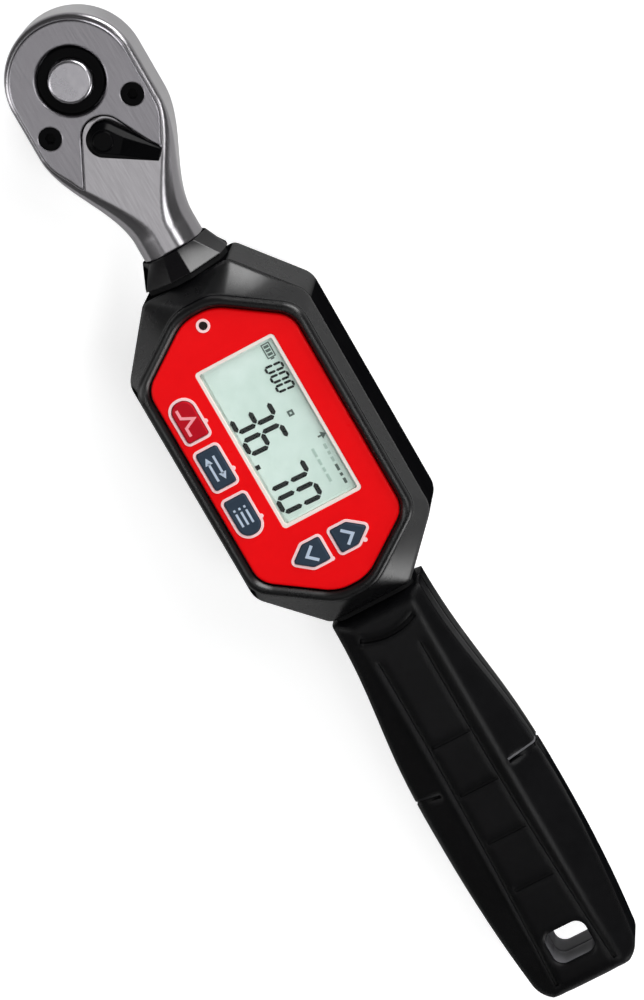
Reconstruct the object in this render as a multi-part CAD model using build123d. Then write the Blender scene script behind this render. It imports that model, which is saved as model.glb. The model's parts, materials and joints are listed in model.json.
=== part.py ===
from build123d import *
from math import cos, pi, radians, sin, sqrt, tan
import os

# Digital torque wrench with a 3/8 inch square drive, in millimetres.
# +X runs along the wrench from the square drive to the end of the grip, +Z points out of the
# display, and +Y is the upper side of the figures on the display. Every piece is modelled about
# the wrench's middle plane and lifted by DRIVE_REACH at the end, so that the tip of the square
# and the back of the display housing both stand at Z = 0.

# Square drive, gear and quick release
DRIVE_REACH = 17.5
SQUARE = 9.525
SQUARE_CHAMFER = 0.8
TEETH = 36
TOOTH_TIP = 9.0
TOOTH_ROOT = 8.35
GEAR_BOTTOM = -4.2
GEAR_TOP = 5.1
JOURNAL = 7.5
CAP_RING_OUTER = 7.15
CAP_RING_INNER = 4.85
CAP_RING_THICK = 0.9
BUTTON_RADIUS = 4.7
BUTTON_TOP = 8.1
BUTTON_UNDERSIDE = 4.8
BUTTON_TRAVEL = 2.2
BUTTON_SEAT = 0.8
ROD_RADIUS = 2.1
ROD_WAIST = 1.18
BALL_RADIUS = 1.6
BALL_HEIGHT = -12.6
BALL_PROUD = 0.55
RUN_CLEARANCE = 0.05

# Ratchet head, cover plate and neck
HEAD_RADIUS = 14.5
HEAD_CENTRE = 0.6
HEAD_BOTTOM = -6.3
HEAD_TOP = 5.3
HEAD_EDGE = 1.0
TAPER_START = 11.2
TAPER_END = 37.5
NECK_HALF = 6.95
NECK_CORNER = 5.75
NECK_END = 49.5
TANG_END = 60.6
TANG_SIZE = 9.0
GEAR_CAVITY = 9.35
PLATE_TOP = 6.6
PLATE_HORN = (21.6, 9.1)
SCREW_SPOT = (8.5, 9.9)
SCREW_HEAD = 2.5
SCREW_SHANK = 1.25

# Reversing lever and pawl
LEVER_X = 13.9
LEVER_ANGLE = 47.0
LEVER_HUB = 3.7
LEVER_LENGTH = 12.1
LEVER_TIP_HALF = 1.35
LEVER_TOP = 9.0
LEVER_SHAFT = 2.2
PAWL_SWING = 7.0
PAWL_BOTTOM = -4.1
PAWL_TOP = 3.1
POCKET_BOTTOM = -4.4
POCKET_TOP = 3.4
POCKET_RADIUS = 12.9
CLIP_SEAT = -5.2

# Collar between the neck and the display housing
COLLAR_START = 41.4
COLLAR_END = 46.6
NECK_FACETS = ((1.6, 7.2), (5.4, 5.4), (7.6, 0.0), (7.6, -1.0), (5.4, -6.4), (2.0, -8.2))
HOUSING_FACETS = ((2.3, 10.0), (9.0, 5.2), (9.9, 0.0), (9.9, -1.5), (9.0, -6.2), (2.3, -10.6))
HOUSING_START = 47.8
HOUSING_END = 127.0

# Display housing, given by (x, y, corner radius) on its +Y side
WIDEST_PLAN = ((47.8, 10.2, 2.0), (61.6, 21.45, 5.0), (114.8, 21.45, 5.0), (127.0, 9.6, 2.5))
RIM_PLAN = ((51.6, 4.4, 10.0), (62.2, 19.9, 6.0), (112.1, 19.9, 6.0), (122.8, 4.3, 10.0))
BACK_PLAN = ((51.5, 8.4, 2.0), (63.6, 17.4, 4.0), (112.8, 17.4, 4.0), (122.8, 8.4, 2.0))
PANEL_PLAN = ((54.2, 3.6, 9.5), (63.6, 17.3, 5.5), (110.7, 17.3, 5.5), (120.2, 3.5, 9.5))
RIM_TOP = 15.8
RIM_FOOT = 13.9
PARTING = 8.3
BELLY = -7.7
BACK = -17.5
WALL = 2.2
PANEL_TOP = 15.0
PANEL_THICK = 1.15
LEDGE_BOTTOM = 12.7
HOUSING_SCREWS = ((62.6, 14.6), (112.8, 14.6))
BOARD_BOTTOM = 7.2
BOARD_TOP = 8.4
BOARD_SCREWS = ((60.5, 6.5), (116.4, 4.2))

# Display window, frame and keys on the panel
FRAME_X = (64.9, 103.0)
FRAME_Y = (-6.9, 12.0)
FRAME_BORDER = 0.75
KEY_COLUMN_Y = -12.85
KEY_COLUMN_X = (73.0, 84.6, 96.4)
KEY_SIZE = (10.2, 6.4)
ARROW_X = 110.4
ARROW_Y = 5.3
ARROW_SIZE = (6.8, 9.3)
KEY_BORDER = 0.6
NIB = 0.5
KEY_TOP = 15.45
KEY_TRAVEL = 0.7
KEY_GAP = 0.15
LAMP_X = 56.8
LAMP_RING = 1.5
LAMP_LENS = 0.9

# Torque beam and handle tube
BEAM_START = 51.6
BEAM_END = 114.0
SOCKET_END = 62.2
SOCKET_HALF = 7.2
TAIL_START = 98.0
TUBE_START = 100.0
TUBE_END = 206.0
TUBE_WIDTH = 15.0
TUBE_HEIGHT = 9.0
TUBE_WALL = 1.6
PIN_RADIUS = 1.5
GAUGE_X = (74.0, 90.0)

# Battery bay in the back of the housing
CELL_LENGTH = 44.5
CELL_RADIUS = 5.25
CELL_START = 68.0
CELL_Y = 5.5
CELL_Z = -10.7
BAY_X = (63.5, 114.5)
BAY_HALF = 11.3
BAY_CEILING = -5.4
COVER_X = 62.0
COVER_HALF = 12.4
COVER_THICK = 1.5

# Grip, given by (x, half width) along its +Y side
GRIP_START = 128.4
GRIP_END = 225.0
GRIP_SIDE = ((128.4, 10.5), (142.0, 11.2), (160.0, 13.6), (182.0, 14.95), (204.0, 14.1), (220.0, 12.5))
GRIP_HALF_THICK = 7.5
GRIP_FLAT = 7.6
GRIP_SIDE_Z = 3.4
HOLE_X = (210.4, 218.4)
HOLE_HALF = 4.9
HOLE_CORNER = 2.4
LOAD_LINE_X = 172.4
GRIP_SCREWS = ((146.0, 9.6), (166.0, 11.0), (203.0, 10.6))


def slab(plan, bottom, top):
    """Solid with the given plan between two heights."""
    return extrude(Pos(0, 0, bottom) * plan, top - bottom, dir=(0, 0, 1))


def block(x, y, z):
    """Box between the given pairs of limits along each axis."""
    centre = Pos((x[0] + x[1]) / 2, (y[0] + y[1]) / 2, (z[0] + z[1]) / 2)
    return centre * Box(x[1] - x[0], y[1] - y[0], z[1] - z[0])


def post(radius, bottom, top, x=0.0, y=0.0):
    """Upright cylinder between two heights."""
    return Pos(x, y, (bottom + top) / 2) * Cylinder(radius, top - bottom)


def cone(bottom_radius, top_radius, bottom, top, x=0.0, y=0.0):
    """Upright cone between two heights."""
    return Pos(x, y, (bottom + top) / 2) * Cone(bottom_radius, top_radius, top - bottom)


def mirrored_plan(corners):
    """Plan from the (x, y, radius) corners of its +Y half, mirrored across the long axis."""
    loop = [(x, -y, r) for x, y, r in corners] + list(reversed(corners))
    wire = FilletPolyline(*[(x, y) for x, y, _ in loop], radius=[r for _, _, r in loop], close=True)
    return make_face(wire)


def inset(corners, distance):
    """The same corners moved in towards the plan's middle along both axes."""
    middle = (corners[0][0] + corners[-1][0]) / 2
    moved = []
    for x, y, r in corners:
        sign = 1 if x < middle else -1
        new_y = max(y - distance, 1.0)
        moved.append((x + sign * distance, new_y, min(max(r - distance, 0.4), 3 * new_y)))
    return moved


def between(lower, lower_z, upper, upper_z):
    """Straight-sided solid between two plans with matching corners."""
    sections = [Pos(0, 0, lower_z) * mirrored_plan(lower), Pos(0, 0, upper_z) * mirrored_plan(upper)]
    return loft(sections, ruled=True)


def coil(radius, wire, bottom, top, turns):
    """Open compression spring that stands between two heights, with an eight-sided wire."""
    rise = top - bottom - 2 * wire
    path = Helix(pitch=rise / turns, height=rise, radius=radius, center=(0, 0, bottom + wire))
    section = Plane(path @ 0, z_dir=path % 0) * RegularPolygon(wire, 8)
    return sweep(section, path=path)


def arc_sector(radius, half_angle):
    """Plan of a circle's sector, open towards +X."""
    reach = radius / cos(radians(half_angle)) + 1
    tip = reach * tan(radians(half_angle))
    wedge = make_face(Polyline((0, 0), (reach, -tip), (reach, tip), close=True))
    return Circle(radius) & wedge


# Ratchet head

def neck_half_width(x):
    """Half width of the head as it narrows to the neck, half a cosine wave."""
    t = min(max((x - TAPER_START) / (TAPER_END - TAPER_START), 0.0), 1.0)
    return NECK_HALF + (HEAD_RADIUS - NECK_HALF) * (1 + cos(pi * t)) / 2


def neck_corner(x):
    """Radius of the section's corners, small on the flat head and nearly round at the neck."""
    t = min(max((x - TAPER_START - 2.5) / (TAPER_END - TAPER_START - 5), 0.0), 1.0)
    return HEAD_EDGE + (NECK_CORNER - HEAD_EDGE) * t


def neck_section(x, grow=0.0):
    """Cross-section of the head or neck at a station along the wrench."""
    plane = Plane(origin=(x, 0, (HEAD_TOP + HEAD_BOTTOM) / 2), x_dir=(0, 1, 0), z_dir=(1, 0, 0))
    width = 2 * (neck_half_width(x) + grow)
    height = HEAD_TOP - HEAD_BOTTOM + 2 * grow
    return plane * RectangleRounded(width, height, neck_corner(x) + grow)


def head_blank():
    """Forged round head that flows into the neck, with no openings yet."""
    disc = post(HEAD_RADIUS, HEAD_BOTTOM, HEAD_TOP, HEAD_CENTRE)
    disc = fillet(disc.edges().filter_by(GeomType.CIRCLE), HEAD_EDGE)
    waist = extrude(neck_section(HEAD_CENTRE), TAPER_START - HEAD_CENTRE, dir=(1, 0, 0))
    stations = [TAPER_START + (TAPER_END - TAPER_START) * i / 7 for i in range(8)]
    taper = loft([neck_section(x) for x in stations])
    neck = extrude(neck_section(TAPER_END), NECK_END - TAPER_END, dir=(1, 0, 0))
    middle = (HEAD_TOP + HEAD_BOTTOM) / 2
    half = TANG_SIZE / 2
    tang = block((NECK_END - 1, TANG_END), (-half, half), (middle - half, middle + half))
    return disc + waist + taper + neck + tang


def pocket_plan():
    """Space in which the pawl rocks, open towards the gear."""
    return arc_sector(POCKET_RADIUS, 39) + Pos(LEVER_X, 0) * Circle(5.15)


def ratchet_head():
    """Head with its gear bore, pawl pocket, lever bore and tapped screw holes."""
    head = head_blank()
    head -= post(GEAR_CAVITY, POCKET_BOTTOM, HEAD_TOP + 1)
    head -= post(JOURNAL + RUN_CLEARANCE, HEAD_BOTTOM - 1, POCKET_BOTTOM)
    head -= slab(pocket_plan(), POCKET_BOTTOM, POCKET_TOP)
    head -= post(LEVER_SHAFT + RUN_CLEARANCE, HEAD_BOTTOM - 1, HEAD_TOP + 1, LEVER_X)
    head -= post(3.7, HEAD_BOTTOM - 1, CLIP_SEAT, LEVER_X)
    for side in (-1, 1):
        head -= post(SCREW_SHANK, HEAD_TOP - 7, HEAD_TOP + 1, SCREW_SPOT[0], side * SCREW_SPOT[1])
    for x in beam_pin_places():
        head -= post(PIN_RADIUS, HEAD_BOTTOM, HEAD_TOP, x)
    return head


def notch_plan():
    """Opening in the cover plate round the lever: an arc that opens into two straight legs."""
    horn_x, horn_y = PLATE_HORN
    rise = 28.5
    radius = 4.7
    touch = (LEVER_X - radius * sin(radians(rise)), radius * cos(radians(rise)))
    beyond = 3.0
    far = (horn_x + beyond, horn_y + beyond * tan(radians(rise)))
    corners = (touch, far, (far[0], -far[1]), (touch[0], -touch[1]))
    return Pos(LEVER_X, 0) * Circle(radius) + make_face(Polyline(*corners, close=True))


def cover_plate():
    """Plate over the gear with a hole for the journal, two countersinks and the lever notch."""
    side = [(x, neck_half_width(x) - neck_corner(x)) for x in (TAPER_START, 14.0, 16.6, 19.2)]
    side.append(PLATE_HORN)
    edge = HEAD_RADIUS - HEAD_EDGE
    nose = ThreePointArc((HEAD_CENTRE, -edge), (HEAD_CENTRE - edge, 0), (HEAD_CENTRE, edge))
    top = Line((HEAD_CENTRE, edge), side[0])
    flank = Spline(*side, tangents=((1, 0), (0.62, -0.78)))
    close = Line(side[-1], (side[-1][0], -side[-1][1]))
    low_flank = mirror(flank, Plane.XZ)
    low = mirror(top, Plane.XZ)
    plan = make_face(Wire([*nose.edges(), *top.edges(), *flank.edges(), *close.edges(),
                           *low_flank.edges(), *low.edges()]))
    plate = slab(plan - notch_plan(), HEAD_TOP, PLATE_TOP)
    plate = fillet(plate.faces().sort_by(Axis.Z)[-1].edges(), 0.5)
    plate -= post(CAP_RING_OUTER + 0.1, HEAD_TOP - 1, PLATE_TOP + 1)
    plate -= cone(CAP_RING_OUTER + 0.1, CAP_RING_OUTER + 0.5, PLATE_TOP - 0.4, PLATE_TOP)
    for side_sign in (-1, 1):
        y = side_sign * SCREW_SPOT[1]
        plate -= post(SCREW_SHANK + 0.2, HEAD_TOP - 1, PLATE_TOP, SCREW_SPOT[0], y)
        plate -= cone(SCREW_HEAD - 1.1, SCREW_HEAD, PLATE_TOP - 1.1, PLATE_TOP, SCREW_SPOT[0], y)
    return plate


def cover_screws():
    """Two countersunk screws with six-sided sockets."""
    screws = []
    for side in (-1, 1):
        x, y = SCREW_SPOT[0], side * SCREW_SPOT[1]
        screw = cone(SCREW_HEAD - 1.1, SCREW_HEAD, PLATE_TOP - 1.1, PLATE_TOP, x, y)
        screw += post(SCREW_SHANK, HEAD_TOP - 6.5, PLATE_TOP - 1, x, y)
        screw -= slab(Pos(x, y) * RegularPolygon(1.15, 6), PLATE_TOP - 0.9, PLATE_TOP + 1)
        screws.append(screw)
    return Compound(screws)


# Gear, square drive and quick release

def gear_plan(grow=0.0):
    """Ratchet wheel outline with straight-flanked teeth that drive both ways."""
    points = []
    pitch = 2 * pi / TEETH
    for tooth in range(TEETH):
        middle = tooth * pitch
        for offset, radius in ((-0.44, TOOTH_ROOT), (-0.10, TOOTH_TIP), (0.10, TOOTH_TIP), (0.44, TOOTH_ROOT)):
            angle = middle + offset * pitch
            points.append(((radius + grow) * cos(angle), (radius + grow) * sin(angle)))
    return make_face(Polyline(*points, close=True))


def drive_gear():
    """Toothed gear in one piece with its journals and the square drive."""
    gear = slab(gear_plan(), GEAR_BOTTOM, GEAR_TOP)
    gear += post(CAP_RING_OUTER, GEAR_TOP, PLATE_TOP - 0.3 - CAP_RING_THICK)
    gear += post(JOURNAL, HEAD_BOTTOM, GEAR_BOTTOM)
    square = block((-SQUARE / 2, SQUARE / 2), (-SQUARE / 2, SQUARE / 2), (-DRIVE_REACH, HEAD_BOTTOM))
    tip = square.faces().sort_by(Axis.Z)[0]
    square = chamfer(tip.edges(), SQUARE_CHAMFER)
    gear += square
    gear -= post(BUTTON_RADIUS + 0.1, BUTTON_SEAT, GEAR_TOP + 2)
    gear -= post(ROD_RADIUS + RUN_CLEARANCE, BALL_HEIGHT - 3.7, BUTTON_SEAT)
    ball_bore = Pos(0, SQUARE / 2, BALL_HEIGHT) * Rot(90, 0, 0) * Cylinder(BALL_RADIUS + RUN_CLEARANCE, SQUARE)
    return gear - ball_bore


def gear_washer():
    """Thin thrust washer under the gear's teeth."""
    return post(TOOTH_TIP, POCKET_BOTTOM, GEAR_BOTTOM) - post(JOURNAL + RUN_CLEARANCE, -6, 0)


def gear_cap_ring():
    """Black ring that closes the gear's upper journal round the release button."""
    top = PLATE_TOP - 0.3
    ring = post(CAP_RING_OUTER, top - CAP_RING_THICK, top)
    ring = chamfer(ring.edges().group_by(Axis.Z)[-1], 0.3)
    return ring - post(CAP_RING_INNER, 0, 10)


def release_button():
    """Push button with the long pin that blocks or frees the detent ball."""
    button = post(BUTTON_RADIUS, BUTTON_UNDERSIDE, BUTTON_TOP)
    button = fillet(button.edges().group_by(Axis.Z)[-1], 0.7)
    waist = BALL_HEIGHT + BUTTON_TRAVEL
    ramp = BALL_HEIGHT - 0.33
    button += post(ROD_RADIUS, waist + 2.3, BUTTON_UNDERSIDE)
    button += cone(ROD_WAIST, ROD_RADIUS, waist + 1.7, waist + 2.3)
    button += post(ROD_WAIST, waist, waist + 1.7)
    button += cone(ROD_RADIUS, ROD_WAIST, ramp, waist)
    button += post(ROD_RADIUS, BALL_HEIGHT - 1.3, ramp)
    return button


def release_spring():
    """Spring that lifts the release button."""
    return coil(3.4, 0.3, BUTTON_SEAT, BUTTON_UNDERSIDE, 3)


def detent_ball():
    """Ball that holds a socket on the square."""
    return Pos(0, SQUARE / 2 + BALL_PROUD - BALL_RADIUS, BALL_HEIGHT) * Sphere(BALL_RADIUS)


# Reversing lever and pawl

def at_lever(shape):
    """Shape drawn along +X from the origin, turned to the lever's rest angle on its shaft."""
    return Pos(LEVER_X, 0, 0) * Rot(0, 0, LEVER_ANGLE) * shape


def lever_plan():
    """Teardrop plan of the lever's thumb piece, from its hub to a narrow blunt tip."""
    lean = radians(90) - (LEVER_HUB - LEVER_TIP_HALF) / LEVER_LENGTH
    touch = (LEVER_HUB * cos(lean), LEVER_HUB * sin(lean))
    corners = (touch, (LEVER_LENGTH, LEVER_TIP_HALF), (LEVER_LENGTH, -LEVER_TIP_HALF), (touch[0], -touch[1]))
    arm = make_face(Polyline(*corners, close=True))
    return arm + Circle(LEVER_HUB)


def reversing_lever():
    """Thumb lever in one piece with its shaft, which has a cross bore for the plunger."""
    arm = slab(lever_plan(), PLATE_TOP + 0.3, LEVER_TOP)
    arm = chamfer(arm.faces().sort_by(Axis.Z)[-1].edges(), 1.1)
    slope = Plane(origin=(LEVER_LENGTH + 1, 0, LEVER_TOP - 1.1), z_dir=(0.12, 0, 1))
    arm = split(arm, bisect_by=slope, keep=Keep.BOTTOM)
    crown = post(2.2, LEVER_TOP - 0.2, LEVER_TOP + 0.35)
    crown = fillet(crown.edges().group_by(Axis.Z)[-1], 0.3)
    lever = arm + crown + post(LEVER_HUB, HEAD_TOP + 0.05, PLATE_TOP + 0.4)
    lever += post(LEVER_SHAFT, CLIP_SEAT, HEAD_TOP + 0.1)
    lever += post(1.75, CLIP_SEAT - 0.6, CLIP_SEAT)
    lever += post(LEVER_SHAFT, HEAD_BOTTOM + 0.1, CLIP_SEAT - 0.6)
    bore = Pos(1.0, 0, (PAWL_BOTTOM + PAWL_TOP) / 2) * Rot(0, 90, 0) * Cylinder(0.95, 4.0)
    return at_lever(lever - bore)


def pawl_plunger():
    """Spring-loaded pin with a round nose that pushes the pawl to one side."""
    height = (PAWL_BOTTOM + PAWL_TOP) / 2
    pin = Pos(1.55, 0, height) * Rot(0, 90, 0) * Cylinder(0.9, 1.9)
    nose = Pos(2.5, 0, height) * Sphere(0.9)
    return at_lever(pin + nose)


def plunger_spring():
    """Small spring behind the plunger."""
    height = (PAWL_BOTTOM + PAWL_TOP) / 2
    return at_lever(Pos(0, 0, height) * Rot(0, 90, 0) * coil(0.65, 0.15, -1.0, 0.6, 3))


def lever_clip():
    """Open snap ring that keeps the lever's shaft in the head."""
    ring = post(3.2, CLIP_SEAT - 0.55, CLIP_SEAT - 0.05) - post(1.75, -8, 0)
    gap = block((0, 6), (-1.3, 1.3), (-8, 0))
    return at_lever(ring - Rot(0, 0, 180) * gap)


def swung(shape, angle):
    """Shape turned about the lever's shaft."""
    return Pos(LEVER_X, 0, 0) * Rot(0, 0, angle) * Pos(-LEVER_X, 0, 0) * shape


def pawl():
    """Two-winged pawl; each wing's teeth are the gear's own spaces in that wing's driving position."""
    plan = (arc_sector(11.6, 35) + Pos(LEVER_X, 0) * Circle(4.8)) - Circle(TOOTH_TIP + 0.35)
    blank = slab(plan, PAWL_BOTTOM, PAWL_TOP)
    cutter = slab(gear_plan(0.06), PAWL_BOTTOM - 1, PAWL_TOP + 1)
    blank = swung(blank, PAWL_SWING) - cutter
    blank = swung(blank, -2 * PAWL_SWING) - cutter
    blank = swung(blank, PAWL_SWING)
    blank -= post(LEVER_SHAFT + RUN_CLEARANCE, -10, 10, LEVER_X)
    room = arc_sector(3.6, 65)
    blank -= Pos(LEVER_X, 0, 0) * slab(room, PAWL_BOTTOM + 1.2, PAWL_TOP - 1.2)
    return swung(blank, PAWL_SWING)


# Collar

def collar_section(x, facets, grow=0.0):
    """Faceted cross-section from the (y, z) corners of its +Y half at a station along the wrench."""
    right = [(y + grow, z + (grow if z > 0 else -grow)) for y, z in facets]
    left = [(-y, z) for y, z in reversed(right)]
    plane = Plane(origin=(x, 0, 0), x_dir=(0, 1, 0), z_dir=(1, 0, 0))
    return plane * make_face(Polyline(*right, *left, close=True))


def neck_collar():
    """Faceted collar that closes the housing round the neck."""
    ends = [collar_section(COLLAR_START, NECK_FACETS), collar_section(COLLAR_END, HOUSING_FACETS)]
    bore = extrude(neck_section(TAPER_END, 0.05), 30, dir=(1, 0, 0))
    return loft(ends, ruled=True) - bore


def collar_seal():
    """Rubber seal between the collar and the housing."""
    section = collar_section(COLLAR_END, HOUSING_FACETS, -0.4)
    plate = extrude(section, HOUSING_START - COLLAR_END, dir=(1, 0, 0))
    return plate - extrude(neck_section(TAPER_END, 0.05), 30, dir=(1, 0, 0))


# Display housing

def housing_blank():
    """Outer form of the closed housing: a deep draughted belly, sloping shoulders and a raised rim."""
    upper = between(WIDEST_PLAN, PARTING, RIM_PLAN, RIM_FOOT) + slab(mirrored_plan(RIM_PLAN), RIM_FOOT, RIM_TOP)
    middle = slab(mirrored_plan(WIDEST_PLAN), BELLY, PARTING)
    lower = between(BACK_PLAN, BACK, WIDEST_PLAN, BELLY)
    return upper, middle, lower


def front_shell():
    """Upper housing shell: rim, panel recess, ledge with the key and window openings, screw bosses."""
    shell = housing_blank()[0]
    shell = fillet(shell.faces().sort_by(Axis.Z)[-1].edges(), 1.2)
    shell -= slab(grown(mirrored_plan(PANEL_PLAN), 0.35), PANEL_TOP - PANEL_THICK, RIM_TOP + 1)
    shell = chamfer(shell.faces().sort_by(Axis.Z)[-1].inner_wires()[0].edges(), 0.75)
    shell -= slab(mirrored_plan(PANEL_PLAN), PARTING - 1, LEDGE_BOTTOM)
    for x, y in HOUSING_SCREWS:
        for side in (-1, 1):
            shell += post(2.9, PARTING, LEDGE_BOTTOM, x, side * y)
            shell -= post(1.1, PARTING - 1, LEDGE_BOTTOM, x, side * y)
    for x, y in BOARD_SCREWS:
        for side in (-1, 1):
            shell += post(1.6, BOARD_TOP, LEDGE_BOTTOM, x, side * y)
            shell -= post(0.8, BOARD_TOP - 1, LEDGE_BOTTOM, x, side * y)
    for plan in key_plans():
        shell -= slab(grown(plan, KEY_GAP), PARTING, PANEL_TOP)
    shell -= slab(window_plan(0.2), PARTING, PANEL_TOP)
    shell -= post(LAMP_LENS + 0.05, PARTING, PANEL_TOP, LAMP_X)
    return shell


def rear_shell():
    """Lower housing shell with the battery bay, screw columns and the openings for neck and tube."""
    _, middle, lower = housing_blank()
    shell = middle + lower
    shell = fillet(shell.faces().sort_by(Axis.Z)[0].edges(), 1.2)
    shell -= slab(mirrored_plan(inset(WIDEST_PLAN, WALL)), BELLY, PARTING + 1)
    shell -= between(inset(BACK_PLAN, WALL), BACK + WALL, inset(WIDEST_PLAN, WALL), BELLY)
    shell -= housing_seal()
    shell += block((BAY_X[0] - 1.2, BAY_X[1] + 1.2), (-BAY_HALF - 1.2, BAY_HALF + 1.2), (BACK + 1, BAY_CEILING + 0.8))
    for x, y in HOUSING_SCREWS:
        for side in (-1, 1):
            shell += post(2.9, BACK + 1, PARTING, x, side * y)
    shell &= middle + lower
    shell -= block(BAY_X, (-BAY_HALF, BAY_HALF), (BACK - 1, BAY_CEILING))
    shell -= cover_space(0.12)
    for x, y in HOUSING_SCREWS:
        for side in (-1, 1):
            shell -= post(1.3, BACK - 1, PARTING + 1, x, side * y)
            shell -= post(2.3, BACK - 1, BACK + 3.5, x, side * y)
    shell -= extrude(neck_section(TAPER_END, 0.08), 15, dir=(1, 0, 0))
    half_width = TUBE_WIDTH / 2 + 0.05
    half_height = TUBE_HEIGHT / 2 + 0.05
    shell -= block((118, HOUSING_END + 1), (-half_width, half_width), (-half_height, half_height))
    return shell


def housing_screws():
    """Four screws that draw the two shells together from the back."""
    screws = []
    for x, y in HOUSING_SCREWS:
        for side in (-1, 1):
            head = post(2.1, BACK + 2.0, BACK + 3.5, x, side * y)
            head -= slab(Pos(x, side * y) * RegularPolygon(0.9, 6), BACK + 1, BACK + 2.8)
            screws.append(head + post(1.1, BACK + 3.4, PARTING + 3.6, x, side * y))
    return Compound(screws)


def housing_seal():
    """Thin seal in the parting line between the two shells."""
    outer = slab(mirrored_plan(inset(WIDEST_PLAN, 0.7)), PARTING - 0.5, PARTING)
    return outer - slab(mirrored_plan(inset(WIDEST_PLAN, 1.5)), PARTING - 1, PARTING + 1)


# Panel, window and keys

def grown(plan, distance):
    """Plan offset outwards by a distance, or inwards by a negative one."""
    return offset(plan, distance)


def column_key_plan(x, front_radius, back_radius):
    """Key of the left column, with its own corner radius at each end."""
    length, width = KEY_SIZE
    half = length / 2
    corners = ((x - half, width / 2, front_radius), (x + half, width / 2, back_radius))
    return Pos(0, KEY_COLUMN_Y) * mirrored_plan(corners)


def arrow_key_plan(side):
    """Five-sided key whose point faces away from the middle."""
    length, width = ARROW_SIZE
    inner = side * (ARROW_Y - width / 2)
    shoulder = side * (ARROW_Y + width / 2 - 4.4)
    point = side * (ARROW_Y + width / 2)
    half = length / 2
    loop = [(ARROW_X - half, inner, 1.1), (ARROW_X + half, inner, 1.1), (ARROW_X + half, shoulder, 1.6),
            (ARROW_X, point, 1.2), (ARROW_X - half, shoulder, 1.6)]
    wire = FilletPolyline(*[(x, y) for x, y, _ in loop], radius=[r for _, _, r in loop], close=True)
    return make_face(wire)


def border_plans():
    """Outer outlines of the five key borders: the column of three, then the two arrows."""
    small, large = 1.3, 3.0
    ends = ((large, small), (small, small), (small, large))
    plans = [column_key_plan(x, front, back) for x, (front, back) in zip(KEY_COLUMN_X, ends)]
    return plans + [arrow_key_plan(-1), arrow_key_plan(1)]


def nib_plans():
    """Small round nibs that stand out of the five borders on the display's side."""
    places = [(x + 1.7, KEY_COLUMN_Y + KEY_SIZE[1] / 2) for x in KEY_COLUMN_X]
    places += [(ARROW_X + 2.9, 4.3 - ARROW_Y), (ARROW_X + 2.55, ARROW_Y + 1.75)]
    return [Pos(x, y) * Circle(NIB) for x, y in places]


def key_plans():
    """Outlines of the five key caps, inside their borders."""
    return [grown(plan, -KEY_BORDER - KEY_GAP) for plan in border_plans()]


def key(plan):
    """Key cap that slides in the panel, with the wider foot that keeps it in."""
    cap = slab(plan, LEDGE_BOTTOM - 0.2, KEY_TOP)
    cap = fillet(cap.faces().sort_by(Axis.Z)[-1].edges(), 0.3)
    foot = slab(grown(plan, 0.7), LEDGE_BOTTOM - 1.4, LEDGE_BOTTOM - 0.1)
    return cap + foot


def key_borders():
    """Five pale borders that line the key openings in the panel."""
    rings = []
    for plan, nib in zip(border_plans(), nib_plans()):
        ring = slab(plan + nib, PANEL_TOP - PANEL_THICK, PANEL_TOP + 0.1)
        rings.append(ring - slab(grown(plan, -KEY_BORDER), PANEL_TOP - 3, PANEL_TOP + 3))
    return Compound(rings)


def window_plan(grow=0.0):
    """Rectangular plan inside the pale frame of the display."""
    middle = Pos((FRAME_X[0] + FRAME_X[1]) / 2, (FRAME_Y[0] + FRAME_Y[1]) / 2)
    length = FRAME_X[1] - FRAME_X[0] - 2 * FRAME_BORDER + 2 * grow
    width = FRAME_Y[1] - FRAME_Y[0] - 2 * FRAME_BORDER + 2 * grow
    return middle * RectangleRounded(length, width, 0.5)


def frame_plan(grow=0.0):
    """Outer plan of the pale frame of the display."""
    middle = Pos((FRAME_X[0] + FRAME_X[1]) / 2, (FRAME_Y[0] + FRAME_Y[1]) / 2)
    size = (FRAME_X[1] - FRAME_X[0] + 2 * grow, FRAME_Y[1] - FRAME_Y[0] + 2 * grow)
    return middle * RectangleRounded(*size, 0.9)


def front_panel():
    """Coloured panel plate with openings for the window, the keys and the lamp."""
    panel = slab(mirrored_plan(PANEL_PLAN), PANEL_TOP - PANEL_THICK, PANEL_TOP)
    panel = fillet(panel.faces().sort_by(Axis.Z)[-1].edges(), 0.45)
    panel -= slab(frame_plan(), PANEL_TOP - 3, PANEL_TOP + 1)
    for plan, nib in zip(border_plans(), nib_plans()):
        panel -= slab(plan + nib, PANEL_TOP - 3, PANEL_TOP + 1)
    return panel - post(LAMP_RING, PANEL_TOP - 3, PANEL_TOP + 1, LAMP_X)


def window_frame():
    """Pale frame round the display window, seated on the ledge."""
    ring = slab(frame_plan(), PANEL_TOP - PANEL_THICK, PANEL_TOP - 0.05)
    return ring - slab(window_plan(), PANEL_TOP - 3, PANEL_TOP + 1)


def display_window():
    """Clear window whose rim lies on the display glass inside the frame."""
    window = slab(window_plan(-0.05), PANEL_TOP - 0.85, PANEL_TOP - 0.15)
    return window - slab(window_plan(-0.6), PANEL_TOP - 1, PANEL_TOP - 0.65)


def display_glass():
    """Liquid crystal glass under the window."""
    return slab(window_plan(-0.05), PANEL_TOP - 3.05, PANEL_TOP - 0.85)


def display_holder():
    """Backlight frame that carries the display glass on the circuit board."""
    return slab(window_plan(0.9), BOARD_TOP, PANEL_TOP - 3.05)


def lamp_ring():
    """Pale ring round the indicator lamp."""
    ring = post(LAMP_RING, PANEL_TOP - PANEL_THICK, PANEL_TOP + 0.1, LAMP_X)
    return ring - post(LAMP_LENS + 0.05, PANEL_TOP - 3, PANEL_TOP + 1, LAMP_X)


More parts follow.
